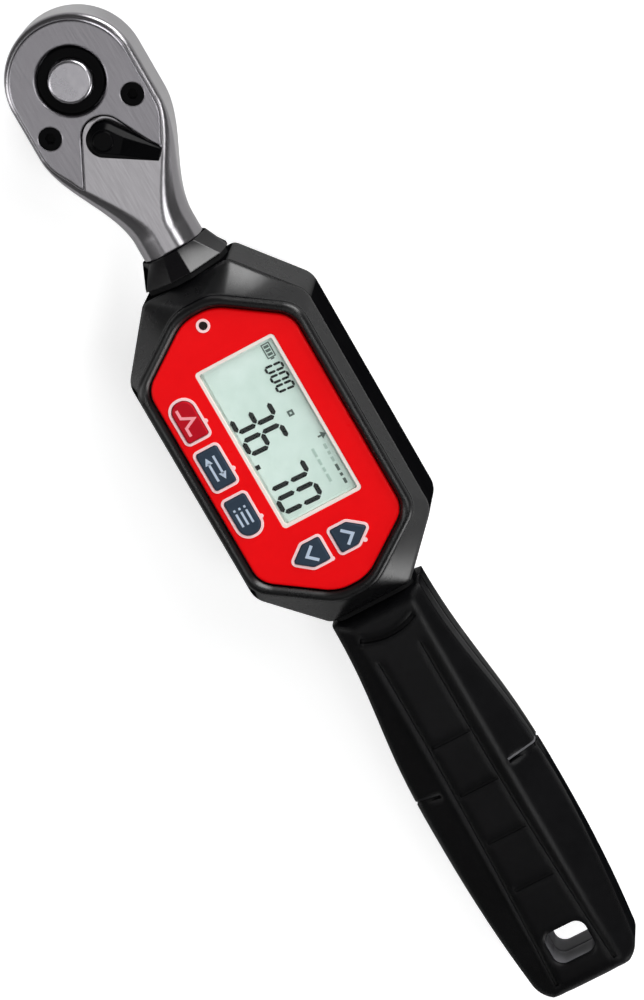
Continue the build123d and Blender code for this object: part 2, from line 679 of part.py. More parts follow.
def lamp_lens():
    """Dark light pipe of the indicator lamp, from the panel down to its diode."""
    return post(LAMP_LENS, BOARD_TOP + 1.2, PANEL_TOP - 0.1, LAMP_X)


def lamp_diode():
    """Surface-mounted light-emitting diode under the light pipe."""
    return block((LAMP_X - 1.0, LAMP_X + 1.0), (-0.8, 0.8), (BOARD_TOP, BOARD_TOP + 1.2))


def circuit_board():
    """Main board that hangs from the front shell."""
    board = slab(mirrored_plan(inset(PANEL_PLAN, 1.2)), BOARD_BOTTOM, BOARD_TOP)
    for x, y in HOUSING_SCREWS:
        for side in (-1, 1):
            board -= post(3.6, BOARD_BOTTOM - 1, BOARD_TOP + 1, x, side * y)
    for x, y in BOARD_SCREWS:
        for side in (-1, 1):
            board -= post(0.9, BOARD_BOTTOM - 1, BOARD_TOP + 1, x, side * y)
    return board


def board_screws():
    """Four small screws that hold the board against its bosses."""
    screws = []
    for x, y in BOARD_SCREWS:
        for side in (-1, 1):
            head = post(1.5, BOARD_BOTTOM - 0.9, BOARD_BOTTOM, x, side * y)
            screws.append(head + post(0.8, BOARD_BOTTOM - 0.5, BOARD_TOP + 2.5, x, side * y))
    return Compound(screws)


def board_chips():
    """Processor, amplifier, memory and crystal on the lower side of the board."""
    chips = []
    for x, y, length, width, height in ((84, -4, 10, 10, 1.4), (70, 6, 6, 5, 1.2), (93, 8, 5, 4, 1.2),
                                        (70, -8, 8, 3.4, 1.2), (98, -9, 4, 4, 1.1)):
        chips.append(block((x - length / 2, x + length / 2), (y - width / 2, y + width / 2),
                           (BOARD_BOTTOM - height, BOARD_BOTTOM)))
    return Compound(chips)


def buzzer():
    """Round buzzer under the board that sounds when the set torque is reached."""
    x, y = 104.0, 12.0
    disc = post(4.2, BOARD_BOTTOM - 2.6, BOARD_BOTTOM, x, y)
    return disc - post(0.8, BOARD_BOTTOM - 3, BOARD_BOTTOM - 1.8, x, y)


def key_switches():
    """Tactile switches on the board, one under each key."""
    switches = []
    for plan in key_plans():
        middle = plan.center()
        body = block((middle.X - 1.8, middle.X + 1.8), (middle.Y - 1.6, middle.Y + 1.6), (BOARD_TOP, BOARD_TOP + 1.5))
        switches.append(body + post(0.9, BOARD_TOP + 1.4, LEDGE_BOTTOM - 1.4 - KEY_TRAVEL - 0.05, middle.X, middle.Y))
    return Compound(switches)


# Torque beam and handle tube

def beam_pin_places():
    """Stations of the two pins that hold the head's tang in the beam."""
    return (54.2, 58.4)


def tail_pin_places():
    """Stations of the two pins that hold the beam's tail in the handle tube."""
    return (104.0, 110.5)


def torque_beam():
    """Steel beam that bends with the torque: socket, waisted gauge section and tail."""
    middle = (HEAD_TOP + HEAD_BOTTOM) / 2
    beam = block((BEAM_START, SOCKET_END), (-SOCKET_HALF, SOCKET_HALF), (HEAD_BOTTOM, HEAD_TOP))
    beam = chamfer(beam.edges().filter_by(Axis.X), 1.2)
    hole = TANG_SIZE / 2 + 0.03
    beam -= block((BEAM_START - 1, TANG_END + 0.05), (-hole, hole), (middle - hole, middle + hole))
    beam += block((SOCKET_END, TAIL_START), (-4.5, 4.5), (-3.6, 3.6))
    tail_half = TUBE_WIDTH / 2 - TUBE_WALL - 0.03
    tail_height = TUBE_HEIGHT / 2 - TUBE_WALL - 0.03
    beam += block((TAIL_START, BEAM_END), (-tail_half, tail_half), (-tail_height, tail_height))
    for x in GAUGE_X:
        for side in (-1, 1):
            beam -= post(5.0, -10, 10, x, side * 8.2)
    for x in beam_pin_places() + tail_pin_places():
        beam -= post(PIN_RADIUS, -10, 10, x)
    return beam


def strain_gauges():
    """Four foil gauges bonded beside the waists of the beam."""
    patches = []
    for x in GAUGE_X:
        for side in (-1, 1):
            y = side * 4.6
            patches.append(block((x + 3.6, x + 7.6), (y - 0.1, y + 0.1), (-1.6, 1.6)))
    return Compound(patches)


def beam_pins():
    """Four cross pins: two through the tang and two through the handle tube."""
    front = [post(PIN_RADIUS, HEAD_BOTTOM, HEAD_TOP, x) for x in beam_pin_places()]
    back = [post(PIN_RADIUS, -TUBE_HEIGHT / 2, TUBE_HEIGHT / 2, x) for x in tail_pin_places()]
    return Compound(front + back)


def handle_tube():
    """Rectangular steel tube that carries the grip and holds the beam's tail."""
    half_width, half_height = TUBE_WIDTH / 2, TUBE_HEIGHT / 2
    tube = block((TUBE_START, TUBE_END), (-half_width, half_width), (-half_height, half_height))
    inner_width, inner_height = half_width - TUBE_WALL, half_height - TUBE_WALL
    tube -= block((TUBE_START - 1, TUBE_END + 1), (-inner_width, inner_width), (-inner_height, inner_height))
    for x in tail_pin_places():
        tube -= post(PIN_RADIUS, -10, 10, x)
    return tube


# Batteries

def battery_cells():
    """Two small round cells side by side, turned opposite ways."""
    cells = []
    for side in (-1, 1):
        can = Cylinder(CELL_RADIUS, CELL_LENGTH - 1.0)
        nub = Pos(0, 0, side * (CELL_LENGTH / 2 - 0.25)) * Cylinder(1.9, 1.5)
        can = Pos(0, 0, -side * 0.5) * fillet(can.edges().filter_by(GeomType.CIRCLE), 0.4)
        cell = Pos(CELL_START + CELL_LENGTH / 2, side * CELL_Y, CELL_Z) * Rot(0, 90, 0) * (can + nub)
        cells.append(cell)
    return Compound(cells)


def battery_springs():
    """Two springs that press on the flat ends of the cells."""
    plate = 0.4
    front = Pos(BAY_X[0] + plate, CELL_Y, CELL_Z) * Rot(0, 90, 0)
    springs = [front * coil(3.2, 0.35, 0.0, CELL_START - BAY_X[0] - plate, 3)]
    back = Pos(BAY_X[1] - plate, -CELL_Y, CELL_Z) * Rot(0, -90, 0)
    rear_gap = BAY_X[1] - plate - CELL_START - CELL_LENGTH
    springs.append(back * coil(3.2, 0.3, 0.0, rear_gap, 1.5))
    return Compound(springs)


def battery_contacts():
    """Plated contact strips at both ends of the bay."""
    plate = 0.4
    strips = []
    for side in (-1, 1):
        for start in (BAY_X[0], BAY_X[1] - plate):
            strip = block((start, start + plate), (side * CELL_Y - 4.2, side * CELL_Y + 4.2), (CELL_Z - 4, CELL_Z + 4))
            strips.append(strip)
    return Compound(strips)


def cover_space(clearance):
    """Space of the sliding cover and its two side tongues, open past the housing's rear end."""
    start = COVER_X - clearance
    half = COVER_HALF + clearance
    end = HOUSING_END + 2
    plate = block((start, end), (-half, half), (BACK - 1, BACK + COVER_THICK))
    tongue = COVER_THICK - 0.75 - clearance
    rails = block((start, end), (-half - 0.8, half + 0.8), (BACK + tongue, BACK + COVER_THICK))
    return plate + rails


def battery_cover():
    """Cover that slides off towards the grip, with side tongues and thumb ridges."""
    _, _, lower = housing_blank()
    lower = fillet(lower.faces().sort_by(Axis.Z)[0].edges(), 1.2)
    cover = lower & (cover_space(0.0) - block((0, 300), (-30, 30), (BACK + COVER_THICK, 0)))
    for i in range(5):
        cover -= block((103 + 2.2 * i, 104 + 2.2 * i), (-6, 6), (BACK - 1, BACK + 0.5))
    return cover


# Grip

def grip_plan():
    """Plan of the grip: slim behind the housing, full in the palm and rounded at the end."""
    edge = Spline(*GRIP_SIDE, tangents=((1, 0), (0.97, -0.12)))
    corner_start = GRIP_SIDE[-1]
    corner = ThreePointArc(corner_start, (223.6, 10.5), (GRIP_END - 0.4, 6.5))
    end = ThreePointArc((GRIP_END - 0.4, 6.5), (GRIP_END, 0), (GRIP_END - 0.4, -6.5))
    start = Line((GRIP_START, -GRIP_SIDE[0][1]), GRIP_SIDE[0])
    edges = [*start.edges(), *edge.edges(), *corner.edges(), *end.edges(),
             *mirror(corner, Plane.XZ).edges(), *mirror(edge, Plane.XZ).edges()]
    return make_face(Wire(edges))


def grip_section():
    """Cross-section of the grip: flat faces, sloping shoulders and short upright sides."""
    widest = 15.05
    points = ((widest, GRIP_SIDE_Z), (GRIP_FLAT, GRIP_HALF_THICK), (-GRIP_FLAT, GRIP_HALF_THICK),
              (-widest, GRIP_SIDE_Z), (-widest, -GRIP_SIDE_Z), (-GRIP_FLAT, -GRIP_HALF_THICK),
              (GRIP_FLAT, -GRIP_HALF_THICK), (widest, -GRIP_SIDE_Z))
    plane = Plane(origin=(GRIP_START, 0, 0), x_dir=(0, 1, 0), z_dir=(1, 0, 0))
    wire = FilletPolyline(*points, radius=[3.0, 2.2, 2.2, 3.0, 3.0, 2.2, 2.2, 3.0], close=True)
    return plane * make_face(wire)


def grip_blank():
    """Outer form of the grip, with its ends eased."""
    body = slab(grip_plan(), -GRIP_HALF_THICK - 1, GRIP_HALF_THICK + 1)
    body &= extrude(grip_section(), GRIP_END - GRIP_START + 5, dir=(1, 0, 0))
    ease = 3.0
    profile = make_face(FilletPolyline(
        (GRIP_START, -GRIP_HALF_THICK), (GRIP_START, GRIP_HALF_THICK), (GRIP_END + 0.1, GRIP_HALF_THICK),
        (GRIP_END + 0.1, -GRIP_HALF_THICK), radius=[0.8, ease, ease, 0.8], close=True))
    side_view = extrude(Plane.XZ * profile, 40, both=True)
    return body & side_view


def strip_grooves():
    """Pair of grooves along the grip's middle strip, wider apart towards the end."""
    cut = None
    for side in (-1, 1):
        line = ThreePointArc((140, side * 5.1), (183, side * 5.5), (222, side * 7.1))
        band = slab(trace(line, 0.9), GRIP_HALF_THICK - 0.6, GRIP_HALF_THICK + 2)
        cut = band if cut is None else cut + band
    return cut


def grip_details():
    """Everything cut into the grip's face: strip grooves, cross grooves, thumb notch and load mark."""
    cut = strip_grooves()
    for i in range(4):
        x = 161.9 + 12.2 * i
        cut += block((x - 0.45, x + 0.45), (-4.6, 4.6), (GRIP_HALF_THICK - 0.35, GRIP_HALF_THICK + 1))
    notch = ThreePointArc((133.8, -6.6), (135.4, 0), (133.8, 6.6))
    cut += slab(trace(notch, 1.1), GRIP_HALF_THICK - 0.8, GRIP_HALF_THICK + 1)
    return cut


def grip_shell(upper):
    """One half of the moulded grip, hollowed for the handle tube and its screws."""
    shell = grip_blank() - grip_details()
    for side in (-1, 1):
        shell -= block((LOAD_LINE_X - 0.4, LOAD_LINE_X + 0.4), (side * 11.8 - 3.4, side * 11.8 + 3.4),
                       (-10, 10)) - block((100, 230), (-14.2, 14.2), (-5.2, 5.2))
    half_width = TUBE_WIDTH / 2 + 0.05
    half_height = TUBE_HEIGHT / 2 + 0.05
    shell -= block((GRIP_START - 1, TUBE_END + 0.2), (-half_width, half_width), (-half_height, half_height))
    middle = (HOLE_X[0] + HOLE_X[1]) / 2
    hole = Pos(middle, 0) * RectangleRounded(HOLE_X[1] - HOLE_X[0], 2 * HOLE_HALF, HOLE_CORNER)
    shell -= slab(hole, -20, 20)
    for x, y in GRIP_SCREWS:
        for side in (-1, 1):
            shell -= post(0.85, -GRIP_HALF_THICK, 3.6, x, side * y)
            shell -= post(1.8, -GRIP_HALF_THICK - 1, -3.0, x, side * y)
    half_space = block((100, 300), (-30, 30), (0, 30)) if upper else block((100, 300), (-30, 30), (-30, 0))
    return shell & half_space


def grip_screws():
    """Six screws that close the grip from the back."""
    screws = []
    for x, y in GRIP_SCREWS:
        for side in (-1, 1):
            head = post(1.7, -4.2, -3.0, x, side * y)
            head -= slab(Pos(x, side * y) * RegularPolygon(0.7, 6), -5, -3.6)
            screws.append(head + post(0.85, -3.1, 3.4, x, side * y))
    return Compound(screws)


def grip_seal():
    """Rubber seal between the housing and the grip."""
    plane = Plane(origin=(HOUSING_END, 0, 0), x_dir=(0, 1, 0), z_dir=(1, 0, 0))
    plate = extrude(plane * RectangleRounded(18.6, 12.6, 3.0), GRIP_START - HOUSING_END, dir=(1, 0, 0))
    half_width = TUBE_WIDTH / 2 + 0.05
    half_height = TUBE_HEIGHT / 2 + 0.05
    return plate - block((120, 140), (-half_width, half_width), (-half_height, half_height))


def save(name, shape):
    """Lift a piece from the middle plane to its place and write its file."""
    export_step(Pos(0, 0, DRIVE_REACH) * shape, f"parts/{name}.step")


KEY_NAMES = ("key_mode", "key_unit", "key_memory", "key_down", "key_up")

os.makedirs("parts", exist_ok=True)
for maker in (ratchet_head, cover_plate, cover_screws, drive_gear, gear_washer, gear_cap_ring, release_button,
              release_spring, detent_ball, reversing_lever, pawl_plunger, plunger_spring, lever_clip, pawl,
              neck_collar, collar_seal, front_shell, rear_shell, housing_screws, housing_seal, key_borders,
              front_panel, window_frame, display_window, display_glass, display_holder, lamp_ring, lamp_lens,
              lamp_diode, circuit_board, board_screws, board_chips, buzzer, key_switches, torque_beam,
              strain_gauges, beam_pins, handle_tube, battery_cells, battery_springs, battery_contacts,
              battery_cover, grip_screws, grip_seal):
    save(maker.__name__, maker())
for name, plan in zip(KEY_NAMES, key_plans()):
    save(name, key(plan))
save("grip_front_shell", grip_shell(True))
save("grip_back_shell", grip_shell(False))
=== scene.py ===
"""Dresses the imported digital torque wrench: finishes, display figures, key symbols and a photo stage."""

import json
import logging
import math
from dataclasses import dataclass
from enum import Enum

import bmesh
import bpy
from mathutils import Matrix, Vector


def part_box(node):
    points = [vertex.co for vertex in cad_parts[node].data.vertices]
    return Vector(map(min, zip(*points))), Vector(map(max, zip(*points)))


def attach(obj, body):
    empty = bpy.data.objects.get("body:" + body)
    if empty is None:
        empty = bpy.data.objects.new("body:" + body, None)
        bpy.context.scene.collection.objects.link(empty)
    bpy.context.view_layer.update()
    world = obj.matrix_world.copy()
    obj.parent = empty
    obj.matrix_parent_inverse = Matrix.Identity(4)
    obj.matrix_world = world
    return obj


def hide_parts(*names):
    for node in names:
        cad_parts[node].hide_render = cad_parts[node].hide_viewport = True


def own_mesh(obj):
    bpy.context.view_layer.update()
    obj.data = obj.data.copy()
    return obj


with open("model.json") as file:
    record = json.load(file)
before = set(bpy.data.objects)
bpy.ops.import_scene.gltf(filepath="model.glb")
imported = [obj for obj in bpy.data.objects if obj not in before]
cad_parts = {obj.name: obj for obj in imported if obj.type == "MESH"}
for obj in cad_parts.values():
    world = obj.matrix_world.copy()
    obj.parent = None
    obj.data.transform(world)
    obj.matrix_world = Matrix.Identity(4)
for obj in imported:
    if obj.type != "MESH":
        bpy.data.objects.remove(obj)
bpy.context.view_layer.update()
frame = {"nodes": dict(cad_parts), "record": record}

MM = 0.001
Point = tuple[float, float]
Loop = list[Point]
Triple = tuple[float, float, float]
Screen = tuple[int, int, int]

logging.basicConfig(level=logging.INFO, format="%(message)s")
log = logging.getLogger("torque_wrench")


def linear(colour: Screen) -> Triple:
    """Turn a screen colour into the linear values that shaders use.

    Args:
        colour: Red, green and blue on the screen scale of 0 to 255.

    Returns:
        The linear colour, each part from 0 to 1.
    """
    shares = [value / 255 for value in colour]
    red, green, blue = (s / 12.92 if s <= 0.04045 else ((s + 0.055) / 1.055) ** 2.4 for s in shares)
    return red, green, blue


class Surface(Enum):
    """How a finish is made up, which picks the node recipe."""

    MOULDED = "moulded"
    GLOSSY = "glossy"
    BRUSHED = "brushed"
    PLATED = "plated"
    BLACKENED = "blackened"
    RUBBER = "rubber"
    GRIP = "grip"
    CLEAR = "clear"
    DISPLAY = "display"
    CELL = "cell"
    BOARD = "board"


@dataclass(frozen=True)
class Finish:
    """Looks of one material slot of the record.

    Attributes:
        slot: Name of the slot in the record.
        surface: Recipe of the material.
        colour: Main colour.
        shade: Second colour, mixed in by the recipe's mask.
        roughness: Roughness of the untouched surface.
        spread: How far the recipe's mask moves the roughness.
        grain: Grains per metre of the fine surface texture.
        relief: Height of the fine surface texture in metres.
        edge: Radius in metres of the softened edges.
    """

    slot: str
    surface: Surface
    colour: Screen
    shade: Screen
    roughness: float
    spread: float = 0.06
    grain: float = 1500.0
    relief: float = 1e-6
    edge: float = 0.0001


FINISHES: tuple[Finish, ...] = (
    Finish(
        "forged_steel", Surface.BRUSHED, (148, 146, 149), (144, 142, 145),
        roughness=0.2, spread=0.03, grain=5200, edge=0.0006,
    ),
    Finish(
        "drive_steel", Surface.PLATED, (160, 159, 163), (146, 146, 152),
        roughness=0.18, grain=700, edge=0.0002,
    ),
    Finish(
        "black_steel", Surface.BLACKENED, (3, 3, 4), (6, 6, 7),
        roughness=0.34, spread=0.10, grain=1600, relief=3e-6, edge=0.00025,
    ),
    Finish(
        "bright_steel", Surface.PLATED, (170, 169, 173), (146, 146, 152),
        roughness=0.26, spread=0.10, grain=1100, relief=2e-6,
    ),
    Finish(
        "button_steel", Surface.PLATED, (167, 165, 169), (160, 158, 163),
        roughness=0.26, grain=1300, relief=2e-6, edge=0.0003,
    ),
    Finish(
        "collar_black", Surface.MOULDED, (4, 3, 5), (7, 6, 8),
        roughness=0.24, grain=2200, relief=3e-6, edge=0.0004,
    ),
    Finish(
        "seal_rubber", Surface.RUBBER, (6, 6, 7), (10, 10, 11),
        roughness=0.62, spread=0.10, grain=2600, relief=8e-6, edge=0.0002,
    ),
    Finish(
        "housing_black", Surface.MOULDED, (5, 5, 6), (9, 9, 10),
        roughness=0.28, grain=2400, relief=3e-6, edge=0.0009,
    ),
    Finish("panel_red", Surface.GLOSSY, (237, 6, 13), (230, 3, 11), roughness=0.3, edge=0.0003),
    Finish("trim_pale", Surface.GLOSSY, (250, 214, 214), (246, 202, 204), roughness=0.42, relief=2e-6),
    Finish("window_clear", Surface.CLEAR, (253, 254, 253), (246, 249, 247), roughness=0.05, spread=0.02),
    Finish(
        "display_grey", Surface.DISPLAY, (232, 246, 243), (226, 241, 237),
        roughness=0.48, spread=0.04, grain=3300,
    ),
    Finish(
        "key_red", Surface.RUBBER, (184, 10, 30), (172, 8, 27),
        roughness=0.46, spread=0.08, grain=2600, relief=4e-6, edge=0.0003,
    ),
    Finish(
        "key_slate", Surface.RUBBER, (48, 61, 75), (42, 54, 68),
        roughness=0.46, spread=0.08, grain=2600, relief=4e-6, edge=0.0003,
    ),
    Finish("lens_dark", Surface.GLOSSY, (30, 12, 14), (20, 8, 10), roughness=0.14, spread=0.04, grain=900),
    Finish("frame_white", Surface.MOULDED, (232, 232, 228), (220, 220, 214), roughness=0.5, relief=3e-6),
    Finish(
        "board_green", Surface.BOARD, (24, 96, 52), (38, 128, 66),
        roughness=0.34, spread=0.10, grain=1300, relief=4e-6,
    ),
    Finish(
        "chip_black", Surface.MOULDED, (26, 26, 29), (40, 40, 44),
        roughness=0.5, spread=0.08, grain=3000, relief=4e-6,
    ),
    Finish(
        "gauge_foil", Surface.PLATED, (205, 150, 96), (182, 122, 70),
        roughness=0.36, spread=0.10, grain=2600, relief=3e-6,
    ),
    Finish(
        "contact_nickel", Surface.PLATED, (214, 210, 200), (190, 186, 176),
        roughness=0.24, spread=0.08, relief=2e-6,
    ),
    Finish("cell_wrap", Surface.CELL, (30, 58, 116), (206, 204, 200), roughness=0.28, grain=900, edge=0.0002),
    # Its second colour is the painted highlight of the load line and the painted reflection on the hanging
    # hole's wall.
    Finish(
        "grip_black", Surface.GRIP, (5, 5, 6), (118, 118, 122),
        roughness=0.3, grain=2100, relief=4e-6, edge=0.002,
    ),
)

# Painted shade: a darker copy of the head's forged steel for the cover plate, so its flat face reads darker
# than the neck's under the same light.
SHADED_PLATE_STEEL = Finish(
    "forged_steel", Surface.BRUSHED, (128, 126, 130), (124, 122, 126),
    roughness=0.22, spread=0.03, grain=5200, edge=0.0005,
)
LEVER_BLACK = Finish(
    "black_steel", Surface.BLACKENED, (3, 3, 4), (5, 5, 6),
    roughness=0.2, grain=1600, relief=2e-6, edge=0.0003,
)
FRAME_PALE = Finish(
    "trim_pale", Surface.GLOSSY, (240, 228, 221), (236, 222, 216),
    roughness=0.42, relief=2e-6,
)

# Nodes whose looks differ from their slot's, with the name of the material. The cover plate's is a darker
# copy of the head's steel, painted shade.
NODE_FINISHES: dict[str, tuple[str, Finish]] = {
    "window_frame": ("frame pale", FRAME_PALE),
    "cover_plate": ("shaded plate steel", SHADED_PLATE_STEEL),
    "reversing_lever": ("lever black", LEVER_BLACK),
}


def print_ink(slot: str, colour: Screen, shade: Screen) -> Finish:
    """Make the flat, matt finish of something printed.

    Args:
        slot: Name of the slot in the record.
        colour: Main colour.
        shade: Second colour, mixed in by a mottle.

    Returns:
        The finish.
    """
    return Finish(slot, Surface.RUBBER, colour, shade, roughness=0.5, grain=2600, edge=0.0)


FIGURE_INK = print_ink("display_grey", (14, 19, 19), (22, 29, 28))
SIGN_INK = print_ink("display_grey", (84, 98, 94), (104, 118, 114))
FAINT_INK = print_ink("display_grey", (182, 202, 196), (192, 212, 206))
SLATE_MARK = print_ink("key_slate", (186, 200, 216), (170, 184, 204))
RED_MARK = print_ink("key_red", (246, 160, 168), (236, 146, 156))


class Nodes:
    """Adds linked nodes to one node tree."""

    def __init__(self, tree: bpy.types.NodeTree) -> None:
        """Start from an empty tree.

        Args:
            tree: The tree to fill.
        """
        self.tree = tree
        tree.nodes.clear()

    def add(self, kind: str, inputs: dict | None = None, **settings) -> bpy.types.Node:
        """Add a node.

        Args:
            kind: Type name of the node.
            inputs: Values of its inputs or the outputs to link there, by input name or number.
            settings: Properties of the node itself.

        Returns:
            The new node.
        """
        node = self.tree.nodes.new(kind)
        for name, value in settings.items():
            setattr(node, name, value)
        for name, value in (inputs or {}).items():
            if isinstance(value, bpy.types.NodeSocket):
                self.tree.links.new(value, node.inputs[name])
            else:
                node.inputs[name].default_value = value
        return node

    def number(self, operation: str, *terms: bpy.types.NodeSocket | float) -> bpy.types.NodeSocket:
        """Add a Math node.

        Args:
            operation: Name of its operation.
            terms: Its inputs in order, each a value or an output.

        Returns:
            The output with the result.
        """
        return self.add("ShaderNodeMath", dict(enumerate(terms)), operation=operation).outputs[0]

    def span(self, value: bpy.types.NodeSocket, limits: dict[str, float], **settings) -> bpy.types.NodeSocket:
        """Add a Map Range node.

        Args:
            value: The output to map.
            limits: Those of its four limits that aren't 0 or 1 as usual.
            settings: Properties of the node itself.

        Returns:
            The output with the result.
        """
        return self.add("ShaderNodeMapRange", {"Value": value, **limits}, **settings).outputs["Result"]

    def place(self) -> bpy.types.NodeSocket:
        """Add the place on the wrench, in metres."""
        return self.add("ShaderNodeTexCoord").outputs["Object"]


class EffectLibrary:
    """Node groups for the surface effects that several finishes share.

    Attributes:
        FINER: How many times finer the mottle's second patches are.
        FINE_SHARE: Share of those patches in the mottle.
        STRETCH: Scale of the place along each axis, which draws grains out along the wrench.
    """

    FINER = 7.0
    FINE_SHARE = 0.35
    STRETCH = (0.04, 1.0, 1.0)

    def __init__(self) -> None:
        """Build every group once."""
        self.relief = self._make_relief()
        self.mottle = self._make_mottle()
        self.brush = self._make_brush()

    def _new_group(self, name: str, inputs: dict[str, float], output: str, kind: str) -> Nodes:
        """Make an empty group with float inputs and one output.

        Args:
            name: Name of the group.
            inputs: Float inputs with their defaults.
            output: Name of the output.
            kind: Socket type of the output.

        Returns:
            The helper that fills the group.
        """
        tree = bpy.data.node_groups.new(name, "ShaderNodeTree")
        for label, default in inputs.items():
            socket = tree.interface.new_socket(label, in_out="INPUT", socket_type="NodeSocketFloat")
            socket.default_value = default
        tree.interface.new_socket(output, in_out="OUTPUT", socket_type=kind)
        return Nodes(tree)

    def _make_relief(self) -> bpy.types.NodeTree:
        """Softened edges with a fine grain on top, as a normal.

        Returns:
            The group.
        """
        inputs = {"Grain": 1500.0, "Height": 0.00001, "Edge": 0.0002}
        nodes = self._new_group("fine relief", inputs, "Normal", "NodeSocketVector")
        given = nodes.add("NodeGroupInput").outputs
        grain = nodes.add(
            "ShaderNodeTexNoise",
            {"Vector": nodes.place(), "Scale": given["Grain"], "Detail": 3.0, "Roughness": 0.6},
        )
        edge = nodes.add("ShaderNodeBevel", {"Radius": given["Edge"]}, samples=6)
        bump = nodes.add(
            "ShaderNodeBump",
            {
                "Strength": 1.0,
                "Distance": given["Height"],
                "Height": grain.outputs["Fac"],
                "Normal": edge.outputs["Normal"],
            },
        )
        nodes.add("NodeGroupOutput", {"Normal": bump.outputs["Normal"]})
        return nodes.tree

    def _make_mottle(self) -> bpy.types.NodeTree:
        """Soft uneven patches broken by finer ones, as a mask from 0 to 1.

        Returns:
            The group.
        """
        nodes = self._new_group("soft mottle", {"Scale": 60.0}, "Mask", "NodeSocketFloat")
        scale = nodes.add("NodeGroupInput").outputs["Scale"]
        place = nodes.place()
        finer = nodes.number("MULTIPLY", scale, self.FINER)
        broad = nodes.add(
            "ShaderNodeTexNoise", {"Vector": place, "Scale": scale, "Detail": 4.0, "Roughness": 0.55}
        )
        fine = nodes.add(
            "ShaderNodeTexNoise", {"Vector": place, "Scale": finer, "Detail": 2.0, "Roughness": 0.6}
        )
        both = nodes.add(
            "ShaderNodeMix", {"Factor": self.FINE_SHARE, "A": broad.outputs["Fac"], "B": fine.outputs["Fac"]}
        )
        mask = nodes.span(both.outputs["Result"], {"From Min": 0.32, "From Max": 0.68})
        nodes.add("NodeGroupOutput", {"Mask": mask})
        return nodes.tree

    def _make_brush(self) -> bpy.types.NodeTree:
        """Fine lines that run along the wrench, as a mask from 0 to 1.

        Returns:
            The group.
        """
        nodes = self._new_group("brush lines", {"Scale": 900.0}, "Mask", "NodeSocketFloat")
        scale = nodes.add("NodeGroupInput").outputs["Scale"]
        stretch = nodes.add("ShaderNodeMapping", {"Vector": nodes.place(), "Scale": self.STRETCH})
        lines = nodes.add(
            "ShaderNodeTexNoise",
            {"Vector": stretch.outputs["Vector"], "Scale": scale, "Detail": 3.0, "Roughness": 0.5},
        )
        mask = nodes.span(lines.outputs["Fac"], {"From Min": 0.3, "From Max": 0.7})
        nodes.add("NodeGroupOutput", {"Mask": mask})
        return nodes.tree


@dataclass(frozen=True)
class PaintedHighlight:
    """A painted highlight on the grip: a paler patch of its surface, inside a box in millimetres.

    Attributes:
        strength: How far the patch goes to the finish's second colour.
        middle: Middle of the box.
        half: Half of its size along each axis.
    """

    strength: float
    middle: Triple
    half: Triple


# Painted light on the grip. The pale line along the edge of the load-line groove is a painted highlight,
# strong on the lit right side and faint on the left. The pale patch on the wall of the hanging hole is a
# painted reflection.
GRIP_PAINTED_HIGHLIGHTS: tuple[PaintedHighlight, ...] = (
    # Painted highlight along the load-line groove's edge: strong on the lit right side, faint on the left.
    PaintedHighlight(0.42, (171.78, 12.2, 24.0), (0.22, 3.8, 6.0)),
    PaintedHighlight(0.05, (171.78, -12.2, 24.0), (0.22, 3.8, 6.0)),
    # Painted reflection on the wall of the hanging hole.
    PaintedHighlight(0.6, (214.4, 0.0, 12.0), (4.1, 5.0, 12.2)),
)


